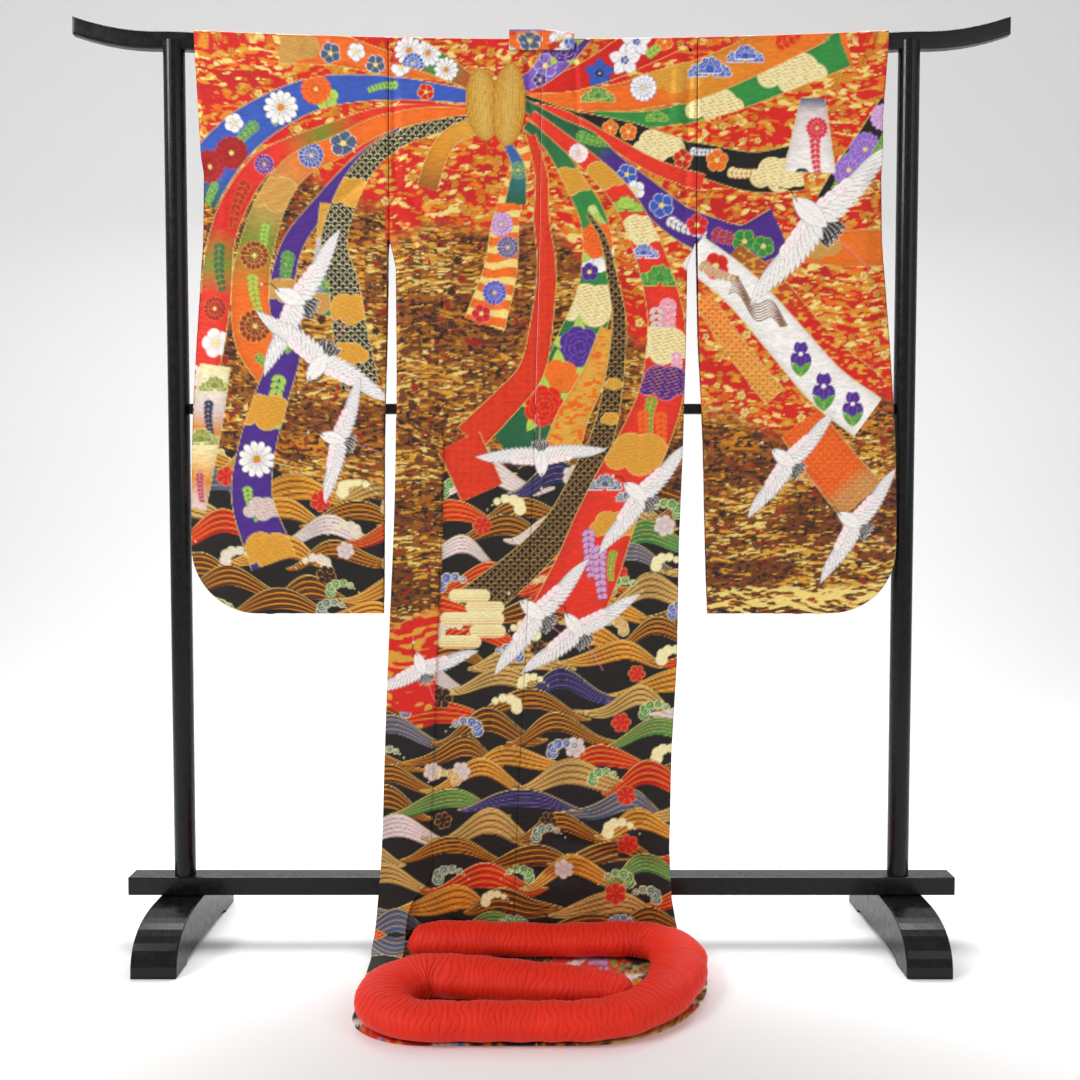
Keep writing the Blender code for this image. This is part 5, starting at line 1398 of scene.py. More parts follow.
BACK_RUN = [RollPoint(*row) for row in (
    (-0.2575, -0.090, 0.012, 0.030), (-0.2500, -0.090, 0.027, 0.045), (-0.2360, -0.090, 0.038, 0.054),
    (-0.2050, -0.090, 0.045, 0.059), (-0.1400, -0.090, 0.046, 0.060), (-0.0600, -0.090, 0.046, 0.056),
    (0.0200, -0.090, 0.046, 0.053), (0.0950, -0.090, 0.046, 0.056),
)]
RIGHT_BACK = Turn(0.160, -0.175, 0.092, 0.085, 90.0, 0.0, 0.046, 0.052, 0.059, 0.060)
RIGHT_FRONT = Turn(0.060, -0.175, 0.192, 0.255, 0.0, -90.0, 0.052, 0.041, 0.060, 0.056)
FRONT_RUN = [RollPoint(x, -0.430, 0.041, 0.056) for x in (0.0, -0.065, -0.130)]
LEFT_TURN = Turn(-0.190, -0.346, 0.080, 0.084, -90.0, -270.0, 0.041, 0.056, 0.056, 0.064)
INNER_RUN = [RollPoint(*row) for row in (
    (-0.1190, -0.272, 0.055, 0.064), (-0.0480, -0.282, 0.051, 0.062), (0.0230, -0.292, 0.046, 0.059),
    (0.0940, -0.302, 0.041, 0.056), (0.1330, -0.3075, 0.036, 0.052), (0.1540, -0.3105, 0.025, 0.043),
    (0.1650, -0.3120, 0.012, 0.030),
)]
SPREAD_TOP = 0.2 * MM + CLOTH
ROLL_LOW = SPREAD_TOP + 0.3 * MM
SPREAD_FRONT, SPREAD_BACK, SPREAD_SIDE, SPREAD_SPLIT = -0.452, -0.024, 0.050, -0.020


def refine(rows: np.ndarray, counts: tuple) -> np.ndarray:
    """Smooth a coarse grid of points to a finer one, by cubic steps along its rows and columns.

    Args:
        rows: coarse points, rows by columns by 3.
        counts: rows and columns wanted.

    Returns:
        The fine points.
    """
    fine = np.asarray(rows, float)
    for axis, count in enumerate(counts):
        points = np.moveaxis(fine, axis, 0)
        steps = np.linalg.norm(np.diff(points, axis=0), axis=-1).mean(axis=1)
        place = np.concatenate([[0.0], np.cumsum(steps)])
        slope = np.gradient(points, place, axis=0)
        at = np.linspace(0.0, place[-1], count)
        left = np.clip(np.searchsorted(place, at, side="right") - 1, 0, len(place) - 2)
        gap = (place[left + 1] - place[left])[:, None, None]
        share = (at - place[left])[:, None, None] / gap
        square, cube = share ** 2, share ** 3
        fine = ((2 * cube - 3 * square + 1) * points[left] + (cube - 2 * square + share) * gap * slope[left]
                + (3 * square - 2 * cube) * points[left + 1] + (cube - square) * gap * slope[left + 1])
        fine = np.moveaxis(fine, 0, axis)
    return fine


@dataclass
class SideFold:
    """The left front's fold: over the back, down to the floor and out in front.

    Its rows repeat the solid's own, and are refined to the cloth's spacing.
    """

    full: float = 1.005
    edge_top: float = -0.189
    edge_low: float = -0.219
    hangs: float = 0.130
    lands: float = -0.130
    sweep: tuple = ((-0.102, 0.0130), (-0.080, 0.0270), (-0.062, 0.0500), (-0.050, 0.0830))

    def rows(self) -> np.ndarray:
        """Coarse rows of points, from the floor in front up to the waist."""
        rows = []
        floor = SPREAD_TOP + 0.6 * MM + CLOTH / 2
        reach_x, reach_y = LEFT_TURN.reach_x + 0.056, LEFT_TURN.reach_y + 0.056
        for share in np.linspace(0.0, 1.0, 7):
            x = np.linspace(-0.3215, -0.262 + 0.050 * (1.0 - share), 6)
            across = (x - LEFT_TURN.x) / reach_x
            end = LEFT_TURN.y + reach_y * np.sqrt(np.clip(1.0 - across ** 2, 0.05, None)) + 2 * CLOTH
            y = end + (self.lands - end) * share
            rows.append(np.stack([x, y, np.full(6, floor + CLOTH * share ** 3)], axis=-1))
        for y, height in self.sweep:
            above = smooth((2 * height - self.hangs) / self.hangs)
            x = np.linspace(BODY.at("left", height), -0.262 + (self.edge_low + 0.262) * above, 6)
            rows.append(np.stack([x, np.full(6, y), np.full(6, height)], axis=-1))
        for height in np.linspace(self.hangs, self.full, 10):
            down = (self.full - height) / (self.full - self.hangs)
            x = np.linspace(BODY.at("left", height), self.edge_top + (self.edge_low - self.edge_top) * down, 6)
            y = np.full(6, HANG.at("back", height) - 5.5 * MM)
            slope = (SLIT_END - self.full) * (1.0 - np.arange(6) / 5) * (height == self.full)
            rows.append(np.stack([x, y, height + slope], axis=-1))
        return np.array(rows)

    def build(self, art: Cartoon) -> bpy.types.Object:
        """Make the fold's sheet and weave the drawing into it."""
        points = refine(self.rows(), (500, 50))
        x, y, z = points[..., 0], points[..., 1], points[..., 2]
        hangs = smooth(z, 0.08, 0.20)
        soft = 0.0016 * (1.0 + np.sin(19.0 * x + 2.1 * z) * np.sin(3.0 * z + 0.6))
        across = np.linspace(0.0, 1.0, points.shape[1])[None, :]
        roll = 0.0022 * np.sin(np.pi * across) ** 2 * np.sin(5.0 * z + 1.0) - 0.003 * across ** 6
        points = points + surface_normals(points, False) * CLOTH / 2
        points[..., 1] += BAR_Y
        points[..., 1] -= hangs * (soft + roll + 0.0006 * np.sin(90.0 * z + 20 * x) * np.sin(60.0 * x))
        piece = sheet_mesh("side_fold_cloth", points, False, CLOTH)
        run = np.linalg.norm(np.diff(points, axis=0), axis=-1).mean(axis=1)
        along = np.concatenate([[0.0], np.cumsum(run)])[:, None] + np.zeros_like(x)
        along += z[-1].mean() - along[-1, 0]
        weave_in(piece, art, x, np.where(along < 0.02, 0.04 - along, along))
        return piece


@dataclass
class OverlapPanel:
    """An overlap panel on the far side: a point at the neck that widens down to the free edge."""

    side: str
    sign: float

    def build(self, art: Cartoon) -> bpy.types.Object:
        """Make the sheet and weave the drawing into it."""
        height = np.linspace(4.5 * MM, OKUMI_POINT, 260)
        share = np.clip((OKUMI_POINT - height) / (OKUMI_POINT - COLLAR.height[0]), 0.0, 1.0)
        width = 0.006 + (OKUMI_EDGE - FRONT_EDGE - 0.006) * share
        across = np.linspace(0.0, 1.0, 20)[None, :]
        x = OKUMI_EDGE - 0.15 * MM - width[:, None] * across
        z = height[:, None] + np.zeros_like(x)
        seam = np.minimum(width[:, None] * across, width[:, None] * (1.0 - across))
        y = HANG.at("front", z) + CLOTH / 2 - drape(self.sign * x, z, seam) + BAR_Y
        grid = np.stack([self.sign * x, y, z], axis=-1)
        piece = sheet_mesh(f"overlap_{self.side}_cloth", grid, self.sign < 0, CLOTH)
        weave_in(piece, art, -self.sign * x, z)
        return piece


@dataclass
class Collar:
    """Half of the collar: from the back of the neck over the bar and down the free edge."""

    side: str
    sign: float
    fall: float
    wall: float = 5.0 * MM
    deep: float = 0.0205
    rise: float = 0.019
    low: float = 0.012
    half: float = 0.062

    def rows(self) -> np.ndarray:
        """Coarse rows of the collar's middle, as on the solid."""
        deep = self.deep
        rising = ((-deep, -0.022), (-deep, 0.000), (-0.8 * deep, 0.008), (-0.4 * deep, self.low))
        rows = []
        for y, rise in rising + tuple((-y, z) for y, z in reversed(rising)):
            x = np.linspace(0.15 * MM, self.half, 5)
            lift = (self.rise - self.low) * (1.0 - self.fall * np.arange(5) / 4) * (rise > 0)
            rows.append(np.stack([self.sign * x, np.full(5, y + BAR_Y), bar_top(x) + rise + lift], axis=-1))
        for height in reversed(COLLAR.height[:-1]):
            x = np.linspace(COLLAR.at("inner", height), COLLAR.at("outer", height), 5)
            y = HANG.at("front", height) + 6.2 * MM + BAR_Y
            rows.append(np.stack([self.sign * x, np.full(5, y), np.full(5, height)], axis=-1))
        return np.array(rows)

    def build(self, art: Cartoon) -> bpy.types.Object:
        """Make the sheet and weave the drawing into it."""
        points = refine(self.rows(), (240, 20))
        flip = self.sign < 0
        points = points + surface_normals(points, flip) * self.wall / 2
        piece = sheet_mesh(f"collar_{self.side}_cloth", points, flip, self.wall)
        run = np.linalg.norm(np.diff(points, axis=0), axis=-1).mean(axis=1)
        along = np.concatenate([[0.0], np.cumsum(run)])[:, None] + np.zeros(points.shape[:2])
        weave_in(piece, art, -0.30 + 0.8 * points[..., 0], 1.72 - along)
        return piece


@dataclass
class LaidHem:
    """One half of the fronts' lower ends, laid forward on the floor under the padded hem."""

    side: str
    turn: Turn
    sign: float

    def build(self, art: Cartoon) -> bpy.types.Object:
        """Make the sheet: rows run front to back, and follow the roll round its turn."""
        reach = self.turn.reach_x + SPREAD_SIDE
        angle = np.radians(np.linspace(89.9, 4.0, 60))
        bend = reach * np.cos(angle)
        straight = abs(self.turn.x - (SPREAD_SPLIT + self.sign * 0.15 * MM))
        out = np.concatenate([np.linspace(0.0, straight, 30)[:-1], straight + bend])
        sine = np.concatenate([np.ones(29), np.sin(angle)])
        front = self.turn.y + (SPREAD_FRONT - self.turn.y) * sine
        back = self.turn.y + (SPREAD_BACK - self.turn.y) * sine if self.sign > 0 else np.full(len(out), SPREAD_BACK)
        share = np.linspace(0.0, 1.0, 40)[:, None]
        y = front + (back - front) * share
        x = np.broadcast_to(SPREAD_SPLIT + self.sign * (0.15 * MM + out), y.shape)
        z = SPREAD_TOP + 0.00012 * np.sin(60.0 * x) * np.sin(71.0 * y)
        grid = np.stack([x, y + BAR_Y, z], axis=-1)
        piece = sheet_mesh(f"laid_hem_{self.side}_cloth", grid, self.sign < 0, CLOTH)
        weave_in(piece, art, x, 0.44 + 0.9 * (y - SPREAD_FRONT))
        return piece


@dataclass
class PaddedHem:
    """The padded vermilion hem: a soft roll along its spiral, with gathers across it.

    A gather is a shallow trough across the roll. Its depth is the sum of a few sines of the
    way along, bent by sines of the way round, and grows at the turns' inner sides.
    """

    sections: int = 960
    sides: int = 64

    def path(self) -> tuple:
        """The roll's middle line, half width and height, finely and evenly spaced."""
        turns = RIGHT_BACK.points() + RIGHT_FRONT.points()[1:]
        points = BACK_RUN + turns + FRONT_RUN + LEFT_TURN.points() + INNER_RUN
        coarse = np.array([[(p.x, p.y, 0.0), (p.half, p.high, 0.0)] for p in points])
        middle = coarse[:, 0, :2]
        place = np.concatenate([[0.0], np.cumsum(np.linalg.norm(np.diff(middle, axis=0), axis=1))])
        at = np.linspace(0.0, place[-1], self.sections)
        fine = [np.interp(at, place, column) for column in (*middle.T, coarse[:, 1, 0], coarse[:, 1, 1])]
        kernel = np.hanning(31) / np.hanning(31).sum()
        for index in range(4):
            padded = np.pad(fine[index], 15, mode="reflect", reflect_type="odd")
            fine[index] = np.convolve(padded, kernel, mode="valid")
        return at, fine

    def build(self) -> bpy.types.Object:
        """Make the closed roll."""
        at, (x, y, half, high) = self.path()
        half = np.maximum(half, 0.010)
        high = np.maximum(high, 0.026)
        end = np.minimum(at - at[0], at[-1] - at)
        taper = np.sqrt(np.clip(end / 0.020, 0.0, 1.0) * (2.0 - np.clip(end / 0.020, 0.0, 1.0)))
        taper = np.maximum(taper, 0.03)
        along = np.gradient(np.stack([x, y], axis=1), axis=0)
        along /= np.linalg.norm(along, axis=1, keepdims=True)
        heading = np.unwrap(np.arctan2(along[:, 1], along[:, 0]))
        bend = np.gradient(heading, at)
        angle = np.linspace(0.0, 2 * np.pi, self.sides, endpoint=False)[None, :]
        way = at[:, None]
        inside = np.clip(-np.cos(angle) * np.sign(bend)[:, None], 0.0,
            1.0) * np.minimum(np.abs(bend)[:, None] / 9.0, 1.0)
        wander = way + 0.0035 * np.sin(3.0 * angle + 40.0 * way) + 0.002 * np.sin(5.0 * angle - 90.0 * way)
        wave = np.abs(np.sin(310.0 * wander + 2.0 * np.sin(37.0 * way)))
        fine = np.abs(np.sin(560.0 * wander + 1.4 * np.sin(71.0 * way + 2.0 * angle)))
        broad = np.sin(88.0 * wander + 2.4 * np.sin(13.0 * way))
        gather = 0.0012 * (wave - 0.6) + 0.0008 * (fine - 0.6)
        gather *= 0.45 + 0.9 * smooth(np.sin(angle), -0.6, 0.9) + 1.4 * inside
        seam = 0.0016 * np.exp(-(((angle - 0.55) / 0.05) ** 2))
        swell = 1.0 + (gather + 0.0011 * broad - seam) / half[:, None]
        round_x = np.sign(np.cos(angle)) * np.abs(np.cos(angle)) ** 0.92
        out = half[:, None] * taper[:, None] * round_x * swell
        rise = high[:, None] / 2 * (1.0 + taper[:, None] * np.sin(angle) * swell)
        points = np.stack([
            x[:, None] + along[:, 1:] * out, y[:, None] - along[:, :1] * out + BAR_Y,
            ROLL_LOW + np.clip(rise, 0.0, None),
        ], axis=-1)
        faces = grid_faces(self.sections, self.sides, False, closed=True)
        verts = points.reshape(-1, 3)
        ends = []
        for row, order in ((0, 1), (self.sections - 1, -1)):
            index = row * self.sides + np.arange(self.sides)
            middle = len(verts)
            verts = np.vstack([verts, verts[index].mean(axis=0)])
            fan = np.stack([np.full(self.sides, middle), np.roll(index, -1), index], axis=1)
            ends.append(fan if order > 0 else fan[:, ::-1])
        mesh = bpy.data.meshes.new("padded_hem_silk")
        mesh.from_pydata(verts, [], faces.tolist() + np.vstack(ends).tolist())
        mesh.shade_smooth()
        piece = bpy.data.objects.new("padded_hem_silk", mesh)
        bpy.context.scene.collection.objects.link(piece)
        # painted shade: the depth of the gathers' troughs, stored for the silk to darken its colour there
        gather_shade_share = np.concatenate([np.clip(-gather * 900.0, 0.0, 1.0).ravel(), [0.5, 0.5]])
        shade = mesh.attributes.new("gather_shade", "FLOAT", "POINT")
        shade.data.foreach_set("value", gather_shade_share.astype(np.float32))
        return piece


# ---------------------------------------------------------------- finishes
class Shade(Enum):
    """Colours of the plain materials and the studio, as sRGB hex."""

    LACQUER = "0A0A0B"
    VERMILION = "F02A0C"
    # the darker vermilion mixed into the hem silk: painted shade in the gathers and random mottling
    VERMILION_SHADE_AND_MOTTLE = "A81204"
    FLOOR = "F4F4F4"

    @property
    def rgba(self) -> tuple:
        """The colour in linear light with full alpha."""
        return (*map(float, linear(self.value)), 1.0)


def add_node(tree: bpy.types.NodeTree, kind: str, links: dict = None, **settings) -> bpy.types.Node:
    """Add a shader node, set its values and link its inputs.

    Args:
        tree: the material's tree.
        kind: the node's type name, without the common prefix.
        links: input names (or places) and the sockets or values they take.
        settings: attributes of the node itself.

    Returns:
        The new node.
    """
    node = tree.nodes.new("ShaderNode" + kind)
    for name, value in settings.items():
        setattr(node, name, value)
    for name, value in (links or {}).items():
        if isinstance(value, bpy.types.NodeSocket):
            tree.links.new(value, node.inputs[name])
        else:
            node.inputs[name].default_value = value
    return node


def new_material(name: str) -> tuple:
    """Make a material and give back it, its tree and its principled shader."""
    material = bpy.data.materials.new(name)
    material.use_nodes = True
    tree = material.node_tree
    shader = tree.nodes["Principled BSDF"]
    return material, tree, shader


@dataclass(frozen=True)
class Brocade:
    """Figured silk brocade: the dyed threads carry the drawing, with gold thread laid in.

    To the eye: matt silk that turns satiny at its folds, and gold that glints unevenly,
    because its threads lie at slightly different slopes.
    """

    rough_silk: float = 0.62
    rough_gold: float = 0.40
    raised: float = 0.45 * MM
    thread: float = 0.9 * MM      # twill pitch; drawn coarser than the real 0.3 mm, which would shimmer
    sheen: float = 0.18

    def make(self) -> bpy.types.Material:
        """Build the material."""
        material, tree, shader = new_material("figured_silk_brocade")
        figure = add_node(tree, "Attribute", attribute_name="figure")
        metal = add_node(tree, "Attribute", attribute_name="metal_thread")
        height = add_node(tree, "Attribute", attribute_name="raised")
        cloth = add_node(tree, "UVMap", uv_map="cloth")
        slub = add_node(tree, "Mapping", {"Vector": cloth.outputs["UV"], "Scale": (90.0, 900.0, 1.0)})
        uneven = add_node(tree, "TexNoise", {"Vector": slub.outputs[0], "Scale": 1.0, "Detail": 2.0})
        cross = add_node(tree, "Mapping", {"Vector": cloth.outputs["UV"], "Scale": (1000.0, 260.0, 1.0)})
        grain = add_node(tree, "TexNoise", {"Vector": cross.outputs[0], "Scale": 1.0, "Detail": 2.0})
        both = add_node(tree, "Math", {0: uneven.outputs["Fac"], 1: grain.outputs["Fac"]}, operation="ADD")
        bright = add_node(tree, "MapRange", {"Value": both.outputs[0], 1: 0.55, 2: 1.45, 3: 0.66, 4: 1.34})
        tint = add_node(tree, "VectorMath", {0: figure.outputs["Color"], "Scale": bright.outputs[0]}, operation="SCALE")
        tree.links.new(tint.outputs[0], shader.inputs["Base Color"])
        glint = add_node(tree, "Math", {0: metal.outputs["Fac"], 1: 0.62}, operation="MULTIPLY")
        tree.links.new(glint.outputs[0], shader.inputs["Metallic"])
        smoother = add_node(tree, "MapRange", {
            "Value": metal.outputs["Fac"], 3: self.rough_silk, 4: self.rough_gold})
        gleam = add_node(tree, "Math", {0: both.outputs[0], 1: 0.16, 2: smoother.outputs[0]}, operation="MULTIPLY_ADD")
        even = add_node(tree, "Math", {0: gleam.outputs[0], 1: 0.16}, operation="SUBTRACT")
        tree.links.new(even.outputs[0], shader.inputs["Roughness"])
        pitch = 1.0 / self.thread
        twill = add_node(tree, "Mapping", {
            "Vector": cloth.outputs["UV"], "Rotation": (0.0, 0.0, math.radians(38.0)), "Scale": (pitch, pitch, 1.0)})
        rib = add_node(tree, "TexWave", {"Vector": twill.outputs[0], "Scale": 0.32, "Distortion": 0.6})
        weave = add_node(tree, "Bump", {"Height": rib.outputs["Fac"], "Strength": 0.35, "Distance": 0.00012})
        fleck = add_node(tree, "Bump", {
            "Height": both.outputs[0], "Strength": 0.5, "Distance": 0.0003, "Normal": weave.outputs[0]})
        raised = add_node(tree, "Bump", {
            "Height": height.outputs["Fac"], "Strength": 0.6, "Distance": self.raised, "Normal": fleck.outputs[0]})
        tree.links.new(raised.outputs[0], shader.inputs["Normal"])
        shader.inputs["Sheen Weight"].default_value = self.sheen
        shader.inputs["Sheen Roughness"].default_value = 0.4
        shader.inputs["Specular IOR Level"].default_value = 0.35
        return material


@dataclass(frozen=True)
class Silk:
    """Plain vermilion silk over padding: a deep glowing red, with painted shade inside its gathers and random mottling.
    """

    rough: float = 0.60
    sheen: float = 0.12
    thread: float = 0.8 * MM

    def make(self) -> bpy.types.Material:
        """Build the material."""
        material, tree, shader = new_material("vermilion_silk_crepe")
        shade = add_node(tree, "Attribute", attribute_name="gather_shade")
        place = add_node(tree, "TexCoord")
        cloudy = add_node(tree, "TexNoise", {"Vector": place.outputs["Object"], "Scale": 26.0, "Detail": 3.0})
        part = add_node(tree, "Math", {0: cloudy.outputs["Fac"], 1: 0.35}, operation="MULTIPLY")
        # painted shade: the red is mixed towards the darker vermilion inside the gathers, plus random mottling from the
        # noise
        share = add_node(tree, "Math", {0: shade.outputs["Fac"], 1: 0.55, 2: part.outputs[0]}, operation="MULTIPLY_ADD")
        dye = add_node(tree, "Mix", {0: share.outputs[0]}, data_type="RGBA")
        dye.inputs[6].default_value = Shade.VERMILION.rgba
        dye.inputs[7].default_value = Shade.VERMILION_SHADE_AND_MOTTLE.rgba
        tree.links.new(dye.outputs[2], shader.inputs["Base Color"])
        crepe = add_node(tree, "TexNoise", {"Vector": place.outputs["Object"], "Scale": 1.0 / self.thread,
            "Detail": 2.0})
        drawn = add_node(tree, "TexNoise", {"Vector": place.outputs["Object"], "Scale": 130.0, "Detail": 3.0})
        small = add_node(tree, "Bump", {"Height": crepe.outputs["Fac"], "Strength": 0.25, "Distance": 0.0002})
        soft = add_node(tree, "Bump", {
            "Height": drawn.outputs["Fac"], "Strength": 0.4, "Distance": 0.001, "Normal": small.outputs[0]})
        tree.links.new(soft.outputs[0], shader.inputs["Normal"])
        patchy = add_node(tree, "MapRange", {
            "Value": drawn.outputs["Fac"], 3: self.rough - 0.08, 4: self.rough + 0.10})
        tree.links.new(patchy.outputs[0], shader.inputs["Roughness"])
        shader.inputs["Sheen Weight"].default_value = self.sheen
        shader.inputs["Sheen Roughness"].default_value = 0.35
        shader.inputs["Specular IOR Level"].default_value = 0.3
        return material


@dataclass(frozen=True)
class Lacquer:
    """Black urushi lacquer on wood: near black, glossy, with faint brush waves and dust."""

    rough: float = 0.20
    coat: float = 0.10

    def make(self) -> bpy.types.Material:
        """Build the material."""
        material, tree, shader = new_material("black_urushi_lacquer")
        place = add_node(tree, "TexCoord")
        long = add_node(tree, "Mapping", {"Vector": place.outputs["Object"], "Scale": (3.0, 14.0, 14.0)})
        brush = add_node(tree, "TexNoise", {"Vector": long.outputs[0], "Scale": 2.0, "Detail": 2.0})
        dust = add_node(tree, "TexNoise", {"Vector": place.outputs["Object"], "Scale": 60.0, "Detail": 5.0})
        gleam = add_node(tree, "MapRange", {
            "Value": dust.outputs["Fac"], 1: 0.3, 2: 0.7, 3: self.rough, 4: self.rough + 0.14})
        tree.links.new(gleam.outputs[0], shader.inputs["Roughness"])
        tint = add_node(tree, "MapRange", {"Value": dust.outputs["Fac"], 1: 0.4, 2: 0.8, 3: 0.8, 4: 1.9})
        colour = add_node(tree, "VectorMath", {0: Shade.LACQUER.rgba[:3], "Scale": tint.outputs[0]}, operation="SCALE")
        tree.links.new(colour.outputs[0], shader.inputs["Base Color"])
        wave = add_node(tree, "Bump", {"Height": brush.outputs["Fac"], "Strength": 0.18, "Distance": 0.0012})
        tree.links.new(wave.outputs[0], shader.inputs["Normal"])
        shader.inputs["Coat Weight"].default_value = self.coat
        shader.inputs["Specular IOR Level"].default_value = 0.22
        shader.inputs["Coat Roughness"].default_value = 0.12
        return material


# ---------------------------------------------------------------- the whole scene
def dress(piece: bpy.types.Object, material: bpy.types.Material, slot: str, *nodes: str) -> None:
    """Give a piece its material, fix it to the body and let it stand for its solids."""
    piece.data.materials.append(material)
    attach(piece, "root")
    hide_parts(*nodes)
    LOG.info("%s: %d faces for %s", piece.name, len(piece.data.polygons), ", ".join(nodes))


@dataclass
class Stand:
    """The kimono stand: its solids are kept and lacquered."""

    nodes: tuple = ("top_bar", "middle_rail", "lower_rail", "post_left", "post_right", "foot_left", "foot_right")

    def build(self, finish: Lacquer) -> None:
        """Put the lacquer in each solid's slot."""
        lacquer = finish.make()
        for node in self.nodes:
            solid = bpy.data.objects[node]
            for place in range(len(solid.data.materials)):
                solid.data.materials[place] = lacquer
            LOG.info("%s: lacquered", node)


@dataclass
class Kimono:
    """The uchikake: every cloth piece."""

    art: Cartoon
    brocade: bpy.types.Material
    silk: bpy.types.Material
    over: float = 0.027

    def panel_edges(self, name: str) -> object:
        """The two edges of a body panel, as a function of the height."""
        half = 0.15 * MM
        inset = 8.0 * MM

        def narrowed(height: np.ndarray, share: float) -> np.ndarray:
            """The left edge, moved in where the side fold's own edge lies."""
            return BODY.at("left", height) + share * inset * smooth((SLIT_END - height) / 0.03)

        def front(height: np.ndarray) -> np.ndarray:
            """The fronts' inner edge: the overlap's seam, and above it the neck."""
            neck = COLLAR.at("outer", height) - COLLAR_LAP + half
            return np.where(height < OKUMI_POINT, OKUMI_EDGE + half, neck)

        return {
            "back_left": lambda z: (narrowed(z, 1.0), BODY.at("seam", z) - half),
            "back_right": lambda z: (BODY.at("seam", z) + half, BODY.at("right", z)),
            "front_left": lambda z: (BODY.at("left", z) + inset / 2, -front(z)),
            "front_right": lambda z: (BODY.at("right", z), front(z)),
        }[name]

    def sleeve_edges(self, side: str) -> object:
        """The two edges of a sleeve, with its lower outer corner rounded."""
        sign = -1.0 if side == "left" else 1.0

        def edges(height: np.ndarray) -> tuple:
            """Inner and outer edge at each height."""
            inner = np.abs(SLEEVES.at(f"{side}_inner", height))
            outer = np.abs(SLEEVES.at(f"{side}_outer", height))
            drop = np.clip(SLEEVE_ROUND - (height - SLEEVE_LOW), 0.0, SLEEVE_ROUND)
            return sign * inner, sign * (outer - SLEEVE_ROUND + np.sqrt(SLEEVE_ROUND ** 2 - drop ** 2))

        return edges

    def hang(self, panel: HangingPanel) -> None:
        """Build one hanging panel."""
        piece = panel.build(self.art)
        dress(piece, self.brocade, "gold_brocade", panel.node)
        heights = panel.heights()
        near, far = panel.edges(heights)

    def build(self) -> None:
        """Build every piece of the garment."""
        for side in ("left", "right"):
            back, front = f"back_{side}", f"front_{side}"
            self.hang(HangingPanel(f"{back}_cloth", back, "back", -1.0, 0.030, self.panel_edges(back), FINE, 5.0 * MM))
            self.hang(HangingPanel(
                f"{front}_cloth", front, "front", 1.0, 4.5 * MM, self.panel_edges(front), COARSE, 5.3 * MM))
            for layer, sign, spacing, ends in (("back", -1.0, FINE, 5.0 * MM), ("front", 1.0, COARSE, 5.3 * MM)):
                self.hang(HangingPanel(
                    f"sleeve_{side}_{layer}_cloth", f"sleeve_{side}_{layer}", f"sleeve_{layer}", sign,
                    SLEEVE_LOW, self.sleeve_edges(side), spacing, ends, round_corner=True))
        for side, sign, fall in (("left", -1.0, 0.0), ("right", 1.0, 1.0)):
            piece = OverlapPanel(side, sign).build(self.art)
            dress(piece, self.brocade, "gold_brocade", f"okumi_{side}")
        for side, sign, fall in (("left", -1.0, 0.0), ("right", 1.0, 1.0)):
            piece = Collar(side, sign, fall).build(self.art)
            dress(piece, self.brocade, "gold_brocade", f"collar_{side}")
        piece = SideFold().build(self.art)
        dress(piece, self.brocade, "gold_brocade", "side_fold_left")
        for side, turn, sign in (("left", LEFT_TURN, -1.0), ("right", RIGHT_FRONT, 1.0)):
            piece = LaidHem(side, turn, sign).build(self.art)
            dress(piece, self.brocade, "gold_brocade", f"hem_spread_{side}")
        piece = PaddedHem().build()
        dress(piece, self.silk, "vermilion_silk", "hem_roll")


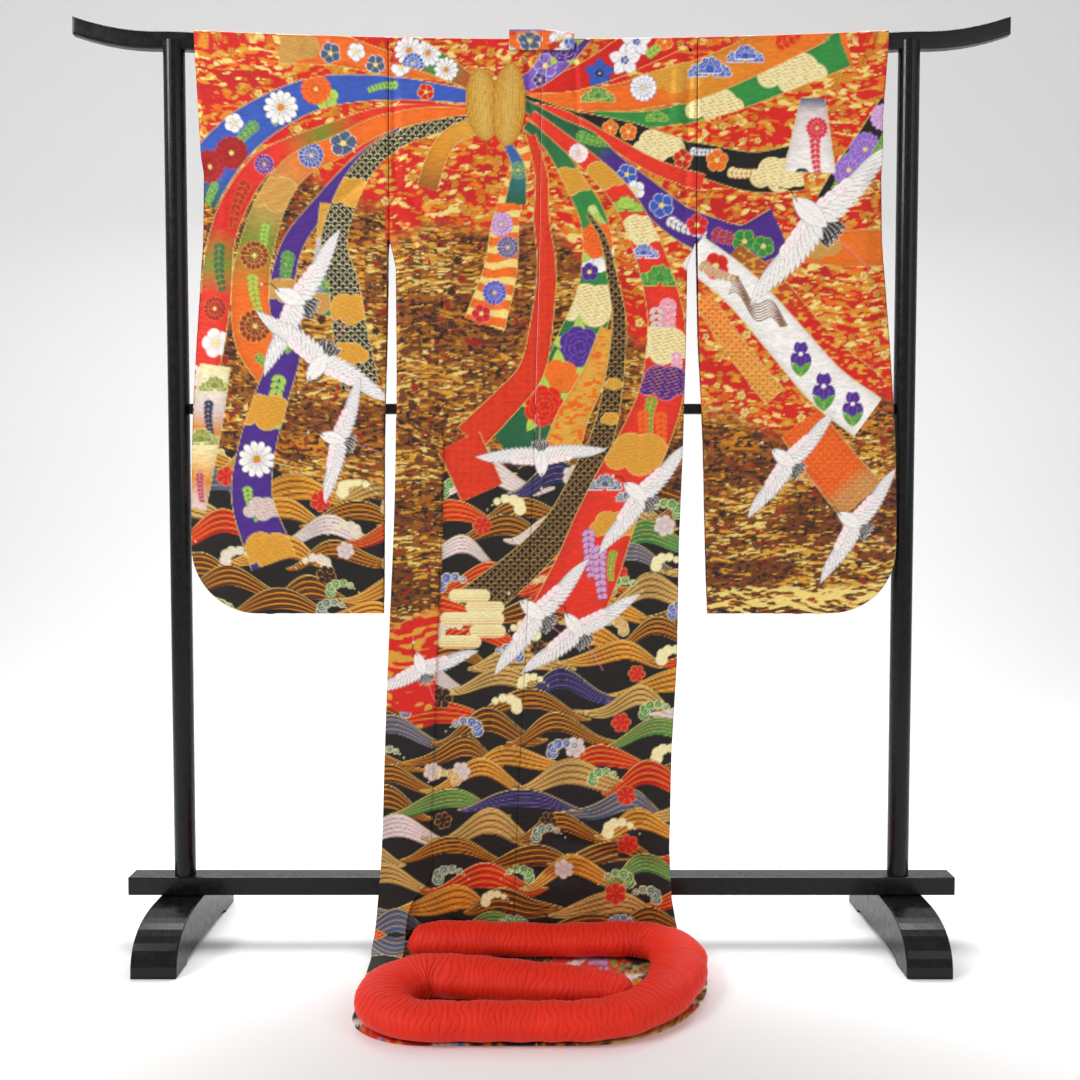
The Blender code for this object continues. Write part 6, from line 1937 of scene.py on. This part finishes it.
@dataclass
class Studio:
    """A white floor that curves up into a backdrop, soft light, and the camera."""

    camera_at: tuple = (-0.003, -2.1355, 0.8945)
    pitch: float = -2.58
    lens: float = 38.6
    back: float = 2.6
    bend: float = 1.2

    def floor(self) -> None:
        """Floor and backdrop in one swept sheet, just under the part."""
        turn = np.linspace(0.0, np.pi / 2, 24)
        y = np.concatenate([[-6.0, self.back], self.back + self.bend * np.sin(turn[1:]), [self.back + self.bend]])
        z = np.concatenate([[0.0, 0.0], self.bend * (1.0 - np.cos(turn[1:])), [6.0]])
        rows = np.stack([np.stack([np.full(len(y), x), y, z], axis=-1) for x in (-7.0, 7.0)], axis=1)
        sweep = add_mesh("studio_sweep", rows, grid_faces(len(y), 2, False))
        material, tree, shader = new_material("matt_white_paper")
        shader.inputs["Roughness"].default_value = 0.9
        shader.inputs["Base Color"].default_value = Shade.FLOOR.rgba
        sweep.data.materials.append(material)

    def lamp(self, name: str, place: tuple, size: tuple, power: float) -> None:
        """Add one large soft lamp that looks at the kimono's middle."""
        data = bpy.data.lights.new(name, "AREA")
        data.shape, data.size, data.size_y, data.energy = "RECTANGLE", *size, power
        lamp = bpy.data.objects.new(name, data)
        lamp.location = place
        lamp.rotation_euler = (Vector((0.0, 0.0, 0.95)) - Vector(place)).to_track_quat("-Z", "Y").to_euler()
        bpy.context.scene.collection.objects.link(lamp)

    def build(self) -> None:
        """Set up the studio."""
        self.floor()
        world = bpy.data.worlds.new("studio_air")
        world.use_nodes = True
        world.node_tree.nodes["Background"].inputs["Color"].default_value = (1.0, 1.0, 1.0, 1.0)
        world.node_tree.nodes["Background"].inputs["Strength"].default_value = 0.52
        bpy.context.scene.world = world
        bpy.context.scene.view_settings.view_transform = "Standard"
        self.lamp("key", (-2.9, -1.9, 3.0), (1.5, 1.2), 78.0)
        self.lamp("fill", (2.4, -2.6, 1.9), (2.0, 2.0), 20.0)
        self.lamp("back_wash", (0.0, 1.6, 3.6), (4.0, 1.5), 150.0)
        camera = bpy.data.objects.new("front_camera", bpy.data.cameras.new("front_camera"))
        camera.location = self.camera_at
        camera.rotation_euler = (math.radians(90.0 + self.pitch), 0.0, 0.0)
        camera.data.lens = self.lens
        bpy.context.scene.collection.objects.link(camera)
        bpy.context.scene.camera = camera


def main() -> None:
    """Build the stand, the kimono and the studio in order."""
    logging.basicConfig(level=logging.INFO, format="%(name)s: %(message)s")
    Stand().build(Lacquer())
    art = Cartoon()
    compose(art)
    LOG.info("cartoon drawn: cells of %.2f mm", art.cell / MM)
    Kimono(art, Brocade().make(), Silk().make()).build()
    Studio().build()


if __name__ == "__main__":
    main()
